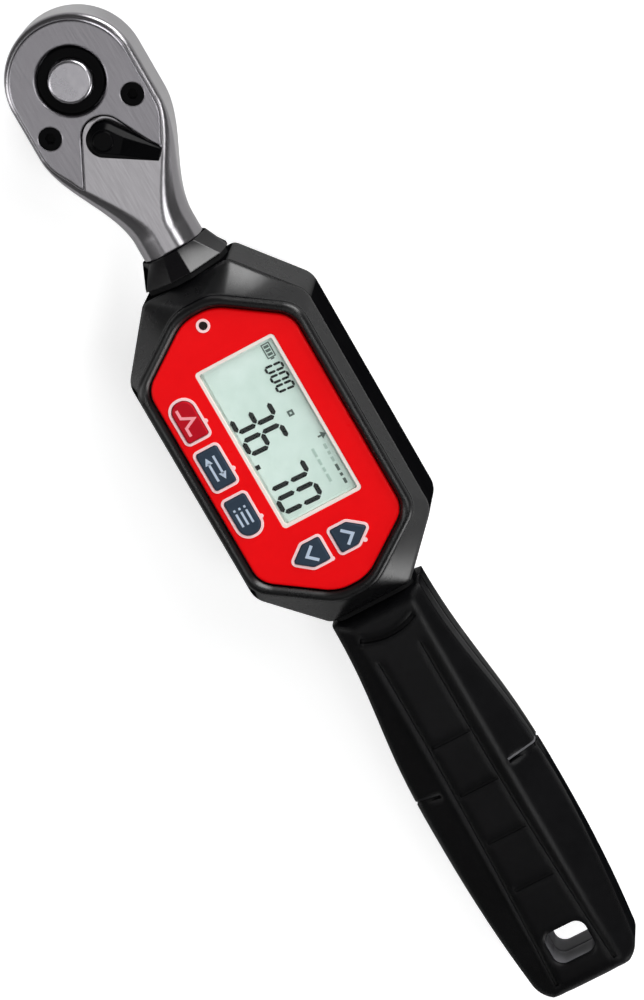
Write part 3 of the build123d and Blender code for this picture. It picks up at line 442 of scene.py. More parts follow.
class MaterialShop:
    """Makes one node material for each finish and keeps it for reuse.

    Attributes:
        METALS: Surfaces that are bare metal.
        SHINE: Strength of the reflection, seen face on, of those that aren't.
        SHINE_FADE: Turn away from the viewer at which that starts to fade and has faded.
        MOTTLE: Patches per metre of the usual mottle.
        FINE_MOTTLE: Patches per metre of the display's mottle.
        SMEARS: Patches per metre of the smears on the window.
        FAINT: Strength of the mottle under the grip's painted highlights.
        CELL_END: Length in metres of the cells' bare ends.
        CELL_EDGE: Half of the width in metres of a sleeve's edge.
        TRACKS: Tracks per metre on the board.
        TRACK_EDGE: Distances between which a track ends.
        WINDOW_INDEX: Refractive index that gives the window its reflection.
        GLARE: Largest share of light that the window reflects.
    """

    METALS = (Surface.BRUSHED, Surface.PLATED)
    SHINE = {
        Surface.MOULDED: 0.39,
        Surface.GLOSSY: 0.09,
        Surface.BLACKENED: 0.04,
        Surface.RUBBER: 0.10,
        Surface.GRIP: 0.14,
        Surface.DISPLAY: 0.2,
        Surface.CELL: 0.5,
        Surface.BOARD: 0.4,
    }
    SHINE_FADE = (0.35, 0.81)
    MOTTLE = 90.0
    FINE_MOTTLE = 420.0
    SMEARS = 45.0
    FAINT = 0.012
    CELL_END = 2.6 * MM
    CELL_EDGE = 0.05 * MM
    TRACKS = 330.0
    TRACK_EDGE = (0.42, 0.46)
    WINDOW_INDEX = 1.3
    GLARE = 0.03

    def __init__(self, effects: EffectLibrary) -> None:
        """Keep the shared effects.

        Args:
            effects: The node groups that the recipes use.
        """
        self.effects = effects
        self.made: dict[tuple[str, Finish], bpy.types.Material] = {}

    def get(self, finish: Finish, label: str = "") -> bpy.types.Material:
        """Give the material of a finish.

        Args:
            finish: The looks wanted.
            label: Name of the material where it isn't its slot's.

        Returns:
            The node material.
        """
        key = (label, finish)
        if key not in self.made:
            material = bpy.data.materials.new(label or finish.slot)
            material.use_nodes = True
            nodes = Nodes(material.node_tree)
            if finish.surface is Surface.CLEAR:
                self._clear(nodes, finish)
            else:
                self._solid(nodes, finish)
            self.made[key] = material
            log.info("material %s, %s", material.name, finish.surface.value)
        return self.made[key]

    def _effect(
        self, nodes: Nodes, tree: bpy.types.NodeTree, values: dict[str, float], output: str = "Mask"
    ) -> bpy.types.NodeSocket:
        """Place a shared effect in a material.

        Args:
            nodes: The material's nodes.
            tree: The effect's group.
            values: Values of the group's inputs.
            output: Name of the output wanted.

        Returns:
            That output.
        """
        return nodes.add("ShaderNodeGroup", values, node_tree=tree).outputs[output]

    def _mask(self, nodes: Nodes, finish: Finish) -> bpy.types.NodeSocket:
        """Pick the mask that varies a finish's colour and roughness.

        Args:
            nodes: The material's nodes.
            finish: The looks wanted.

        Returns:
            The output with the mask.
        """
        if finish.surface is Surface.BRUSHED:
            return self._effect(nodes, self.effects.brush, {"Scale": finish.grain})
        if finish.surface is Surface.CELL:
            return self._bands(nodes)
        if finish.surface is Surface.BOARD:
            return self._tracks(nodes)
        if finish.surface is Surface.GRIP:
            return self._grip_painted_highlights(nodes)
        scale = self.FINE_MOTTLE if finish.surface is Surface.DISPLAY else self.MOTTLE
        return self._effect(nodes, self.effects.mottle, {"Scale": scale})

    def _bands(self, nodes: Nodes) -> bpy.types.NodeSocket:
        """Mask that is 1 on the bare ends of the cells and 0 on their sleeves.

        Args:
            nodes: The material's nodes.

        Returns:
            The output with the mask.
        """
        low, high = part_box("battery_cells")
        sleeve = (high.x - low.x) / 2 - self.CELL_END
        along = nodes.add("ShaderNodeSeparateXYZ", {"Vector": nodes.place()}).outputs["X"]
        offset = nodes.number("SUBTRACT", along, (low.x + high.x) / 2)
        limits = {"From Min": sleeve - self.CELL_EDGE, "From Max": sleeve + self.CELL_EDGE}
        return nodes.span(nodes.number("ABSOLUTE", offset), limits)

    def _grip_painted_highlights(self, nodes: Nodes) -> bpy.types.NodeSocket:
        """Mask of the grip's painted highlights, on a faint mottle.

        Args:
            nodes: The material's nodes.

        Returns:
            The output with the mask.
        """
        place = nodes.add("ShaderNodeSeparateXYZ", {"Vector": nodes.place()}).outputs
        mottle = self._effect(nodes, self.effects.mottle, {"Scale": self.MOTTLE})
        result = nodes.number("MULTIPLY", mottle, self.FAINT)
        for mark in GRIP_PAINTED_HIGHLIGHTS:
            level = mark.strength
            for axis, middle, half in zip("XYZ", mark.middle, mark.half):
                inside = nodes.number("COMPARE", place[axis], middle * MM, half * MM)
                level = nodes.number("MULTIPLY", level, inside)
            result = nodes.number("MAXIMUM", result, level)
        return result

    def _tracks(self, nodes: Nodes) -> bpy.types.NodeSocket:
        """Mask of fine copper tracks under the board's green lacquer.

        Args:
            nodes: The material's nodes.

        Returns:
            The output with the mask.
        """
        cells = nodes.add(
            "ShaderNodeTexVoronoi",
            {"Vector": nodes.place(), "Scale": self.TRACKS, "Randomness": 0.7},
            distance="CHEBYCHEV",
            feature="F1",
        )
        near, far = self.TRACK_EDGE
        return nodes.span(cells.outputs["Distance"], {"From Min": near, "From Max": far})

    def _colour(self, nodes: Nodes, finish: Finish, mask: bpy.types.NodeSocket) -> bpy.types.NodeSocket:
        """Mix a finish's two colours.

        Args:
            nodes: The material's nodes.
            finish: The looks wanted.
            mask: Share of the second colour.

        Returns:
            The output with the colour.
        """
        colours = {"A": (*linear(finish.colour), 1), "B": (*linear(finish.shade), 1)}
        return nodes.add("ShaderNodeMix", {"Factor": mask, **colours}, data_type="RGBA").outputs["Result"]

    def _shine(self, nodes: Nodes, finish: Finish) -> bpy.types.NodeSocket:
        """Reflection that fades where the surface turns away from the viewer.

        Args:
            nodes: The material's nodes.
            finish: The looks wanted.

        Returns:
            The output with its strength.
        """
        facing = nodes.add("ShaderNodeLayerWeight", {"Blend": 0.5}).outputs["Facing"]
        near, far = self.SHINE_FADE
        full = self.SHINE[finish.surface]
        return nodes.span(facing, {"From Min": near, "From Max": far, "To Min": full, "To Max": 0.0})

    def _solid(self, nodes: Nodes, finish: Finish) -> None:
        """Opaque recipe: two colours, uneven roughness and a fine relief.

        Args:
            nodes: The material's nodes.
            finish: The looks wanted.
        """
        mask = self._mask(nodes, finish)
        half = finish.spread / 2
        rough = {"To Min": finish.roughness - half, "To Max": finish.roughness + half}
        relief = {"Grain": finish.grain, "Height": finish.relief, "Edge": finish.edge}
        inputs = {
            "Base Color": self._colour(nodes, finish, mask),
            "Roughness": nodes.span(mask, rough),
            "Normal": self._effect(nodes, self.effects.relief, relief, "Normal"),
        }
        if finish.surface in self.METALS:
            inputs["Metallic"] = 1.0
        else:
            inputs["Specular IOR Level"] = self._shine(nodes, finish)
        shader = nodes.add("ShaderNodeBsdfPrincipled", inputs)
        nodes.add("ShaderNodeOutputMaterial", {"Surface": shader.outputs["BSDF"]})

    def _clear(self, nodes: Nodes, finish: Finish) -> None:
        """See-through recipe: a clear sheet with faint reflections and smears.

        Args:
            nodes: The material's nodes.
            finish: The looks wanted.
        """
        mask = self._effect(nodes, self.effects.mottle, {"Scale": self.SMEARS})
        rough = {"To Min": finish.roughness, "To Max": finish.roughness + finish.spread}
        through = nodes.add("ShaderNodeBsdfTransparent", {"Color": self._colour(nodes, finish, mask)})
        shine = nodes.add("ShaderNodeBsdfGlossy", {"Roughness": nodes.span(mask, rough)})
        facing = nodes.add("ShaderNodeFresnel", {"IOR": self.WINDOW_INDEX}).outputs["Fac"]
        inside = nodes.add("ShaderNodeNewGeometry").outputs["Backfacing"]
        share = nodes.number("MULTIPLY", facing, nodes.number("SUBTRACT", 1.0, inside))
        share = nodes.number("MINIMUM", share, self.GLARE)
        mix = nodes.add(
            "ShaderNodeMixShader", {"Fac": share, 1: through.outputs["BSDF"], 2: shine.outputs["BSDF"]}
        )
        nodes.add("ShaderNodeOutputMaterial", {"Surface": mix.outputs["Shader"]})


class PrismMesh:
    """Collects flat outlines and ribbons and raises them into one thin mesh.

    Attributes:
        SHARPEST: Least cosine of a mitre's angle, which keeps sharp corners short.
    """

    SHARPEST = 0.4

    def __init__(self, bottom: float, top: float) -> None:
        """Set the heights.

        Args:
            bottom: Lower face in metres.
            top: Upper face in metres.
        """
        self.bottom = bottom
        self.top = top
        self.mesh = bmesh.new()

    def outline(self, loop: Loop) -> None:
        """Raise a convex outline into a prism.

        Args:
            loop: Corners in millimetres, in either order.
        """
        area = sum(a[0] * b[1] - b[0] * a[1] for a, b in zip(loop, loop[1:] + loop[:1]))
        if area < 0:
            loop = list(reversed(loop))
        low = [self.mesh.verts.new((x * MM, y * MM, self.bottom)) for x, y in loop]
        high = [self.mesh.verts.new((x * MM, y * MM, self.top)) for x, y in loop]
        self.mesh.faces.new(list(reversed(low)))
        self.mesh.faces.new(high)
        for i in range(len(loop)):
            j = (i + 1) % len(loop)
            self.mesh.faces.new((low[i], low[j], high[j], high[i]))

    def rectangle(self, left: float, low: float, width: float, height: float) -> None:
        """Raise an upright rectangle, given in millimetres.

        Args:
            left: Left edge.
            low: Lower edge.
            width: Width.
            height: Height.
        """
        right, top = left + width, low + height
        self.outline([(left, low), (right, low), (right, top), (left, top)])

    def ribbon(self, points: Loop, width: float, closed: bool = False) -> None:
        """Raise a band of even width along a line, mitred at its corners.

        Args:
            points: Corners of the middle line in millimetres.
            width: Width of the band in millimetres.
            closed: True if the line returns to its start.
        """
        count = len(points)
        sides = []
        for i, point in enumerate(points):
            here = Vector(point)
            directions = []
            if closed or i > 0:
                directions.append((here - Vector(points[(i - 1) % count])).normalized())
            if closed or i < count - 1:
                directions.append((Vector(points[(i + 1) % count]) - here).normalized())
            normals = [Vector((-d.y, d.x)) for d in directions]
            mitre = sum(normals, Vector((0.0, 0.0))).normalized()
            reach = width / 2 / max(mitre.dot(normals[0]), self.SHARPEST)
            sides.append((here + mitre * reach, here - mitre * reach))
        for i in range(count if closed else count - 1):
            left_start, right_start = sides[i]
            left_end, right_end = sides[(i + 1) % count]
            self.outline([tuple(right_start), tuple(right_end), tuple(left_end), tuple(left_start)])

    def build(self, name: str, material: bpy.types.Material) -> bpy.types.Object:
        """Finish the mesh as an object in the scene.

        Args:
            name: Name of the object.
            material: Its material.

        Returns:
            The new object, with its vertices in the row frame.
        """
        return add_piece(name, self.mesh, material)


def add_piece(name: str, mesh: bmesh.types.BMesh, material: bpy.types.Material) -> bpy.types.Object:
    """Turn a closed mesh into an object of the scene and free it.

    Args:
        name: Name of the object.
        mesh: The mesh.
        material: Its material.

    Returns:
        The new object, with its vertices in the row frame.
    """
    bmesh.ops.recalc_face_normals(mesh, faces=mesh.faces)
    data = bpy.data.meshes.new(name)
    mesh.to_mesh(data)
    mesh.free()
    data.materials.append(material)
    piece = bpy.data.objects.new(name, data)
    bpy.context.scene.collection.objects.link(piece)
    log.info("piece %s, %d faces", name, len(data.polygons))
    return piece


class Segment(Enum):
    """The seven strokes of a display figure."""

    TOP = "top"
    MIDDLE = "middle"
    BOTTOM = "bottom"
    UPPER_LEFT = "upper_left"
    UPPER_RIGHT = "upper_right"
    LOWER_LEFT = "lower_left"
    LOWER_RIGHT = "lower_right"


LEFT = {Segment.UPPER_LEFT, Segment.LOWER_LEFT}
RIGHT = {Segment.UPPER_RIGHT, Segment.LOWER_RIGHT}
BARS = {Segment.TOP, Segment.MIDDLE, Segment.BOTTOM}
FIGURES: dict[str, set[Segment]] = {
    "0": LEFT | RIGHT | {Segment.TOP, Segment.BOTTOM},
    "3": RIGHT | BARS,
    "6": LEFT | BARS | {Segment.LOWER_RIGHT},
    "7": RIGHT | {Segment.TOP},
}


@dataclass(frozen=True)
class FigureStyle:
    """Proportions of one size of display figure, in millimetres.

    Attributes:
        width: Width of a figure.
        height: Height of a figure.
        stroke: Width of its strokes.
        slant: Sideways shift for each millimetre upwards.
        gap: Space between strokes that meet.
    """

    width: float
    height: float
    stroke: float
    slant: float
    gap: float


class FigureWriter:
    """Draws seven-stroke figures into a prism mesh."""

    def __init__(self, mesh: PrismMesh, style: FigureStyle) -> None:
        """Keep the target and the style.

        Args:
            mesh: Mesh that takes the strokes.
            style: Proportions of the figures.
        """
        self.mesh = mesh
        self.style = style

    def _stroke(self, left: float, base: float, start: Point, end: Point) -> None:
        """Add one stroke with pointed ends between two corners of the figure.

        Args:
            left: Left edge of the figure in millimetres.
            base: Lower edge of the figure in millimetres.
            start: First corner, from the figure's lower left.
            end: Second corner.
        """
        style = self.style
        half = style.stroke / 2
        a, b = Vector(start), Vector(end)
        along = (b - a).normalized()
        across = Vector((-along.y, along.x)) * half
        a, b = a + along * style.gap, b - along * style.gap
        point = along * half
        loop = [a, a + point - across, b - point - across, b, b - point + across, a + point + across]
        self.mesh.outline([(left + p.x + style.slant * p.y, base + p.y) for p in loop])

    def write(self, figure: str, left: float, base: float) -> None:
        """Draw one figure.

        Args:
            figure: The figure, such as "7".
            left: Left edge in millimetres.
            base: Lower edge in millimetres.
        """
        half = self.style.stroke / 2
        low, high = half, self.style.height - half
        near, far = half, self.style.width - half
        middle = self.style.height / 2
        corners = {
            Segment.TOP: ((near, high), (far, high)),
            Segment.MIDDLE: ((near, middle), (far, middle)),
            Segment.BOTTOM: ((near, low), (far, low)),
            Segment.UPPER_LEFT: ((near, middle), (near, high)),
            Segment.UPPER_RIGHT: ((far, middle), (far, high)),
            Segment.LOWER_LEFT: ((near, low), (near, middle)),
            Segment.LOWER_RIGHT: ((far, low), (far, middle)),
        }
        for segment in sorted(FIGURES[figure], key=lambda s: s.value):
            self._stroke(left, base, *corners[segment])


@dataclass(frozen=True)
class StrokeRow:
    """A row of short indicator strokes on the display, in millimetres.

    Attributes:
        start: Left end of the row.
        low: Lower edge of the row.
        widths: Lengths of the strokes.
        height: Height of the strokes.
        gap: Space between them.
    """

    start: float
    low: float
    widths: tuple[float, ...]
    height: float = 0.6
    gap: float = 0.6


@dataclass(frozen=True)
class BatterySign:
    """The battery sign on the display, in millimetres.

    Attributes:
        corner: Lower left corner.
        length: Length of its outline.
        height: Height of its outline.
        line: Width of the outline's line.
        tip_gap: Space between the outline and its tip.
        tip: Length of the tip.
        tip_inset: How far the tip stays inside the outline's height.
        bars: Number of bars inside.
        bar: Width of a bar.
        bar_height: Height of a bar.
        bar_inset: Place of the first bar from the corner.
        bar_pitch: Step between the bars.
    """

    corner: Point = (66.4, 8.3)
    length: float = 3.1
    height: float = 1.7
    line: float = 0.24
    tip_gap: float = 0.15
    tip: float = 0.35
    tip_inset: float = 0.45
    bars: int = 3
    bar: float = 0.6
    bar_height: float = 1.1
    bar_inset: Point = (0.35, 0.3)
    bar_pitch: float = 0.87


@dataclass(frozen=True)
class ArrowSign:
    """The arrow that shows the direction of the torque, in millimetres.

    Attributes:
        foot: Middle of its lower end.
        head: Corners of its head, from the foot.
        stem: Width and height of its stem.
    """

    foot: Point = (89.05, 9.1)
    head: tuple[Point, ...] = ((-0.85, 0.8), (0.85, 0.8), (0.0, 1.9))
    stem: Point = (0.4, 0.85)


@dataclass(frozen=True)
class DisplayLayout:
    """Places on the display glass in millimetres, in the row frame.

    Attributes:
        base: Lower edge of the large figures.
        rights: Right edge of each large figure.
        reading: The large figures.
        point: Left edge of the decimal point.
        point_side: Side of the decimal point.
        small_left: Left edge of the first small figure.
        small_base: Lower edge of the small figures.
        small_pitch: Step between the small figures.
        small_count: Number of small figures.
        battery: The battery sign.
        arrow: The direction arrow.
        square: Lower left corner of the small square's line.
        square_side: Side of that square.
        square_line: Width of its line.
        dark_row: Strokes that are switched on.
        pale_rows: Strokes that are switched off.
        ink: Thickness of the ink.
    """

    base: float = -5.75
    rights: tuple[float, ...] = (81.3, 86.65, 95.3, 100.95)
    reading: str = "3670"
    point: float = 88.35
    point_side: float = 1.0
    small_left: float = 70.7
    small_base: float = 6.35
    small_pitch: float = 2.25
    small_count: int = 3
    battery: BatterySign = BatterySign()
    arrow: ArrowSign = ArrowSign()
    square: Point = (81.4, 6.2)
    square_side: float = 0.9
    square_line: float = 0.4
    dark_row: StrokeRow = StrokeRow(95.9, 9.2, (1.5, 0.7, 1.2))
    pale_rows: tuple[StrokeRow, ...] = (
        StrokeRow(90.9, 9.2, (1.2, 0.8, 1.1)),
        StrokeRow(90.7, 6.5, (2.0, 1.4, 1.0, 1.8)),
    )
    ink: float = 0.06


class DisplayPrint:
    """Figures, signs and indicator strokes on the display glass.

    Attributes:
        LARGE: Style of the main reading.
        SMALL: Style of the record number.
    """

    LARGE = FigureStyle(4.3, 9.8, 1.05, 0.034, 0.17)
    SMALL = FigureStyle(1.85, 4.2, 0.52, 0.08, 0.05)

    def __init__(self, layout: DisplayLayout, shop: MaterialShop) -> None:
        """Keep the layout.

        Args:
            layout: Places of the figures.
            shop: Source of the inks.
        """
        self.layout = layout
        self.shop = shop
        self.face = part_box("display_glass")[1].z

    def _sheet(self) -> PrismMesh:
        """Start a layer of ink on the glass."""
        return PrismMesh(self.face, self.face + self.layout.ink * MM)

    def _fix(self, name: str, mesh: PrismMesh, ink: Finish) -> None:
        """Build a layer and let it ride with the wrench.

        Args:
            name: Name of the layer.
            mesh: Its shapes.
            ink: Its finish.
        """
        piece = mesh.build(name, self.shop.get(ink, name + " ink"))
        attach(piece, "wrench")

    def _large(self) -> None:
        """Draw the main reading with its decimal point."""
        mesh = self._sheet()
        layout, style = self.layout, self.LARGE
        writer = FigureWriter(mesh, style)
        for figure, right in zip(layout.reading, layout.rights):
            writer.write(figure, right - style.width - style.slant * style.height, layout.base)
        mesh.rectangle(layout.point, layout.base, layout.point_side, layout.point_side)
        self._fix("display_reading", mesh, FIGURE_INK)

    def _small(self) -> None:
        """Draw the small figures of the record number."""
        mesh = self._sheet()
        layout = self.layout
        writer = FigureWriter(mesh, self.SMALL)
        for i in range(layout.small_count):
            writer.write("0", layout.small_left + i * layout.small_pitch, layout.small_base)
        self._fix("display_record_number", mesh, FIGURE_INK)

    def _battery(self, mesh: PrismMesh) -> None:
        """Draw the battery sign: an outline, its tip and its bars.

        Args:
            mesh: Mesh that takes the sign.
        """
        sign = self.layout.battery
        x, y = sign.corner
        right, top = x + sign.length, y + sign.height
        mesh.ribbon([(x, y), (right, y), (right, top), (x, top)], sign.line, closed=True)
        tip_height = sign.height - 2 * sign.tip_inset
        mesh.rectangle(right + sign.tip_gap, y + sign.tip_inset, sign.tip, tip_height)
        for i in range(sign.bars):
            left = x + sign.bar_inset[0] + i * sign.bar_pitch
            mesh.rectangle(left, y + sign.bar_inset[1], sign.bar, sign.bar_height)

    def _arrow(self, mesh: PrismMesh) -> None:
        """Draw the arrow that shows the direction of the torque.

        Args:
            mesh: Mesh that takes the arrow.
        """
        sign = self.layout.arrow
        x, y = sign.foot
        width, height = sign.stem
        mesh.outline([(x + dx, y + dy) for dx, dy in sign.head])
        mesh.rectangle(x - width / 2, y, width, height)

    def _strokes(self, mesh: PrismMesh, row: StrokeRow) -> None:
        """Draw a row of short strokes.

        Args:
            mesh: Mesh that takes the strokes.
            row: The row.
        """
        left = row.start
        for width in row.widths:
            mesh.rectangle(left, row.low, width, row.height)
            left += width + row.gap

    def _signs(self) -> None:
        """Draw the battery sign, the arrow, the square and the darker indicator strokes."""
        mesh = self._sheet()
        layout = self.layout
        self._battery(mesh)
        self._arrow(mesh)
        (x, y), side = layout.square, layout.square_side
        corners = [(x, y), (x + side, y), (x + side, y + side), (x, y + side)]
        mesh.ribbon(corners, layout.square_line, closed=True)
        self._strokes(mesh, layout.dark_row)
        self._fix("display_signs", mesh, SIGN_INK)

    def _indicators(self) -> None:
        """Draw the indicator strokes that are switched off."""
        mesh = self._sheet()
        for row in self.layout.pale_rows:
            self._strokes(mesh, row)
        self._fix("display_indicators", mesh, FAINT_INK)

    def build(self) -> None:
        """Print everything on the glass."""
        self._large()
        self._small()
        self._signs()
        self._indicators()


class KeyMark(Enum):
    """Generic sign on each key."""

    PEAK = "peak"
    SWAP = "swap"
    LIST = "list"
    DOWN = "down"
    UP = "up"


@dataclass(frozen=True)
class KeySpec:
    """One key of the keypad.

    Attributes:
        node: CAD node of the key.
        body: Body that the key moves with.
        mark: Sign on the key.
        finish: Finish of the sign.
    """

    node: str
    body: str
    mark: KeyMark
    finish: Finish


KEYS: tuple[KeySpec, ...] = (
    KeySpec("key_mode", "mode_key", KeyMark.PEAK, RED_MARK),
    KeySpec("key_unit", "unit_key", KeyMark.SWAP, SLATE_MARK),
    KeySpec("key_memory", "memory_key", KeyMark.LIST, SLATE_MARK),
    KeySpec("key_down", "down_key", KeyMark.DOWN, SLATE_MARK),
    KeySpec("key_up", "up_key", KeyMark.UP, SLATE_MARK),
)


@dataclass(frozen=True)
class SignSizes:
    """Sizes of the signs on the keys, in millimetres from a sign's middle.

    Attributes:
        ink: Thickness of the ink above the key.
        sink: How far the ink reaches into the key, so that no gap shows.
        peak: Line of the pulse.
        peak_line: Width of that line.
        swap_rise: Height of each arrow above or below the middle.
        swap_shaft: Tail and front end of an arrow's shaft.
        swap_line: Width of the shaft.
        swap_head: Back and tip of an arrow's head, and half of its width.
        list_pitch: Step between the list's lines.
        list_bar: Ends of a line.
        list_dot: Ends of its dot.
        list_line: Width of both.
        chevron: Line of the upward chevron.
        chevron_line: Width of that line.
        chevron_drop: How far the chevron sits back from the key's middle.
    """

    ink: float = 0.05
    sink: float = 0.01
    peak: tuple[Point, ...] = ((-3.1, -1.1), (-1.2, -1.1), (0.0, 1.35), (1.2, -1.1), (3.1, -1.1))
    peak_line: float = 0.6
    swap_rise: float = 0.85
    swap_shaft: Point = (-2.7, 1.6)
    swap_line: float = 0.51
    swap_head: Triple = (1.3, 2.9, 0.85)
    list_pitch: float = 1.2
    list_bar: Point = (-1.1, 2.0)
    list_dot: Point = (-2.1, -1.6)
    list_line: float = 0.48
    chevron: tuple[Point, ...] = ((-1.75, -0.9), (0.0, 1.1), (1.75, -0.9))
    chevron_line: float = 0.66
    chevron_drop: float = 0.5


class KeypadPrint:
    """Signs printed on the keys."""

    def __init__(self, sizes: SignSizes, shop: MaterialShop) -> None:
        """Keep the sizes.

        Args:
            sizes: Sizes of the signs.
            shop: Source of the inks.
        """
        self.sizes = sizes
        self.shop = shop

    def _peak(self, mesh: PrismMesh, x: float, y: float) -> None:
        """Draw a pulse that rises to one peak.

        Args:
            mesh: Mesh that takes the sign.
            x: Middle of the key along the wrench.
            y: Middle of the key across it.
        """
        mesh.ribbon([(x + dx, y + dy) for dx, dy in self.sizes.peak], self.sizes.peak_line)

    def _swap(self, mesh: PrismMesh, x: float, y: float) -> None:
        """Draw two arrows that point opposite ways.

        Args:
            mesh: Mesh that takes the sign.
            x: Middle of the key along the wrench.
            y: Middle of the key across it.
        """
        tail, front = self.sizes.swap_shaft
        back, tip, half = self.sizes.swap_head
        for way in (-1, 1):
            height = y + way * self.sizes.swap_rise
            mesh.ribbon([(x + way * tail, height), (x + way * front, height)], self.sizes.swap_line)
            rear = x + way * back
            mesh.outline([(rear, height - half), (x + way * tip, height), (rear, height + half)])

    def _list(self, mesh: PrismMesh, x: float, y: float) -> None:
        """Draw three stacked lines, each with its dot.

        Args:
            mesh: Mesh that takes the sign.
            x: Middle of the key along the wrench.
            y: Middle of the key across it.
        """
        for row in (-1, 0, 1):
            height = y + row * self.sizes.list_pitch
            for start, end in (self.sizes.list_bar, self.sizes.list_dot):
                mesh.ribbon([(x + start, height), (x + end, height)], self.sizes.list_line)

    def _chevron(self, mesh: PrismMesh, x: float, y: float, way: int) -> None:
        """Draw an open arrow that points up or down the display.

        Args:
            mesh: Mesh that takes the sign.
            x: Middle of the key along the wrench.
            y: Middle of the key across it.
            way: 1 for up, -1 for down.
        """
        middle = y - way * self.sizes.chevron_drop
        line = [(x + dx, middle + way * dy) for dx, dy in self.sizes.chevron]
        mesh.ribbon(line, self.sizes.chevron_line)

    def _draw(self, spec: KeySpec) -> None:
        """Draw one key's sign on its top.

        Args:
            spec: The key.
        """
        low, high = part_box(spec.node)
        x, y = (low.x + high.x) / 2 / MM, (low.y + high.y) / 2 / MM
        mesh = PrismMesh(high.z - self.sizes.sink * MM, high.z + self.sizes.ink * MM)
        if spec.mark is KeyMark.PEAK:
            self._peak(mesh, x, y)
        elif spec.mark is KeyMark.SWAP:
            self._swap(mesh, x, y)
        elif spec.mark is KeyMark.LIST:
            self._list(mesh, x, y)
        else:
            self._chevron(mesh, x, y, 1 if spec.mark is KeyMark.UP else -1)
        piece = mesh.build(f"{spec.node}_sign", self.shop.get(spec.finish, spec.mark.value + " sign"))
        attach(piece, spec.body)

    def build(self) -> None:
        """Print every key."""
        for spec in KEYS:
            self._draw(spec)


class FrameDresser:
    """Gives every CAD node the material of its slot."""

    def __init__(self, shop: MaterialShop) -> None:
        """Keep the source of materials.

        Args:
            shop: Source of the materials.
        """
        self.shop = shop
        self.finishes = {finish.slot: finish for finish in FINISHES}

    def dress(self) -> None:
        """Paint all nodes by the record's slots."""
        for entry in frame["record"]["subparts"]:
            node = frame["nodes"][entry["node"]]
            label, finish = NODE_FINISHES.get(entry["node"], ("", self.finishes[entry["material_slot"]]))
            material = self.shop.get(finish, label)
            node.data.materials.clear()
            node.data.materials.append(material)
            log.info("node %s wears %s", node.name, material.name)


@dataclass(frozen=True)
class SpringSpec:
    """A coil spring under a button; lengths in millimetres.

    Attributes:
        node: CAD node that it stands for.
        body: Body that its seat belongs to.
        joint: Joint that presses it; not used.
        slot: Material slot of its finish.
        radius: Radius of the wire's middle line.
        wire: Radius of the wire.
        turns: Number of turns.
        steps: Steps in one turn of the mesh.
        sides: Sides of the wire's section in the mesh.
    """

    node: str = "release_spring"
    body: str = "drive"
    joint: str = "release_press"
    slot: str = "bright_steel"
    radius: float = 3.4
    wire: float = 0.3
    turns: int = 3
    steps: int = 32
    sides: int = 8


class PressedSpring:
    """Coil spring that sits under the button."""

    def __init__(self, spec: SpringSpec, shop: MaterialShop) -> None:
        """Keep the sizes.

        Args:
            spec: Sizes and place of the spring.
            shop: Source of its material.
        """
        self.spec = spec
        self.shop = shop
        self.low, self.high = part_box(spec.node)

    def _section(self, mesh: bmesh.types.BMesh, share: float) -> list[bmesh.types.BMVert]:
        """Add the wire's corners at one place of the coil.

        Args:
            mesh: Mesh that takes the corners.
            share: Share of the way up, from 0 to 1.

        Returns:
            The new corners, in order round the wire.
        """
        radius, wire = self.spec.radius * MM, self.spec.wire * MM
        turn = math.tau * self.spec.turns * share
        middle = self.low.z + wire + (self.high.z - self.low.z - 2 * wire) * share
        corners = []
        for i in range(self.spec.sides):
            angle = math.tau * i / self.spec.sides
            reach = radius + wire * math.cos(angle)
            place = (reach * math.cos(turn), reach * math.sin(turn), middle + wire * math.sin(angle))
            corners.append(mesh.verts.new(place))
        return corners

    def _sweep(self) -> bmesh.types.BMesh:
        """Sweep the wire along the coil.

        Returns:
            The closed mesh of the spring.
        """
        mesh = bmesh.new()
        count = self.spec.steps * self.spec.turns
        rings = [self._section(mesh, i / count) for i in range(count + 1)]
        for near, far in zip(rings, rings[1:]):
            for i in range(self.spec.sides):
                j = (i + 1) % self.spec.sides
                mesh.faces.new((near[i], near[j], far[j], far[i])).smooth = True
        mesh.faces.new(rings[0])
        mesh.faces.new(rings[-1])
        return mesh

    def build(self) -> None:
        """Put the spring under the button and let it ride with its body."""
        finish = next(finish for finish in FINISHES if finish.slot == self.spec.slot)
        piece = add_piece("button_spring", self._sweep(), self.shop.get(finish))
        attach(piece, self.spec.body)
        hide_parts(self.spec.node)
        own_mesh(piece)


@dataclass(frozen=True)
class CameraSpec:
    """The photograph's view, in metres and degrees.

    Attributes:
        target: Point of the wrench at the picture's middle.
        toward: Direction from the target to the camera.
        distance: Distance of the camera.
        lens: Focal length in millimetres.
        sensor: Width of the sensor in millimetres.
        roll: Turn of the wrench's long axis in the picture.
        shift: Sideways and upward shift of the picture.
        clip: Nearest and farthest distance that is seen.
    """

    target: Triple = (0.10445, 0.0, 0.0175)
    toward: Triple = (-0.2114, 0.208, 1.0)
    distance: float = 1.0
    lens: float = 169.57
    sensor: float = 36.0
    roll: float = -59.887
    shift: Point = (0.00043, 0.00085)
    clip: Point = (0.05, 20.0)


@dataclass(frozen=True)
class LightSpec:
    """One soft white panel of light.

    Attributes:
        name: Name of the light.
        place: Where it stands, in metres.
        size: Length and width in metres.
        power: Power in watts.
    """

    name: str
    place: Triple
    size: Point
    power: float


LIGHTS: tuple[LightSpec, ...] = (
    LightSpec("panel_right", (-0.12, 0.60, 0.54), (0.6, 0.12), 1.9),
    LightSpec("panel_left", (-0.05, -0.62, 0.56), (0.9, 0.22), 2.35),
)


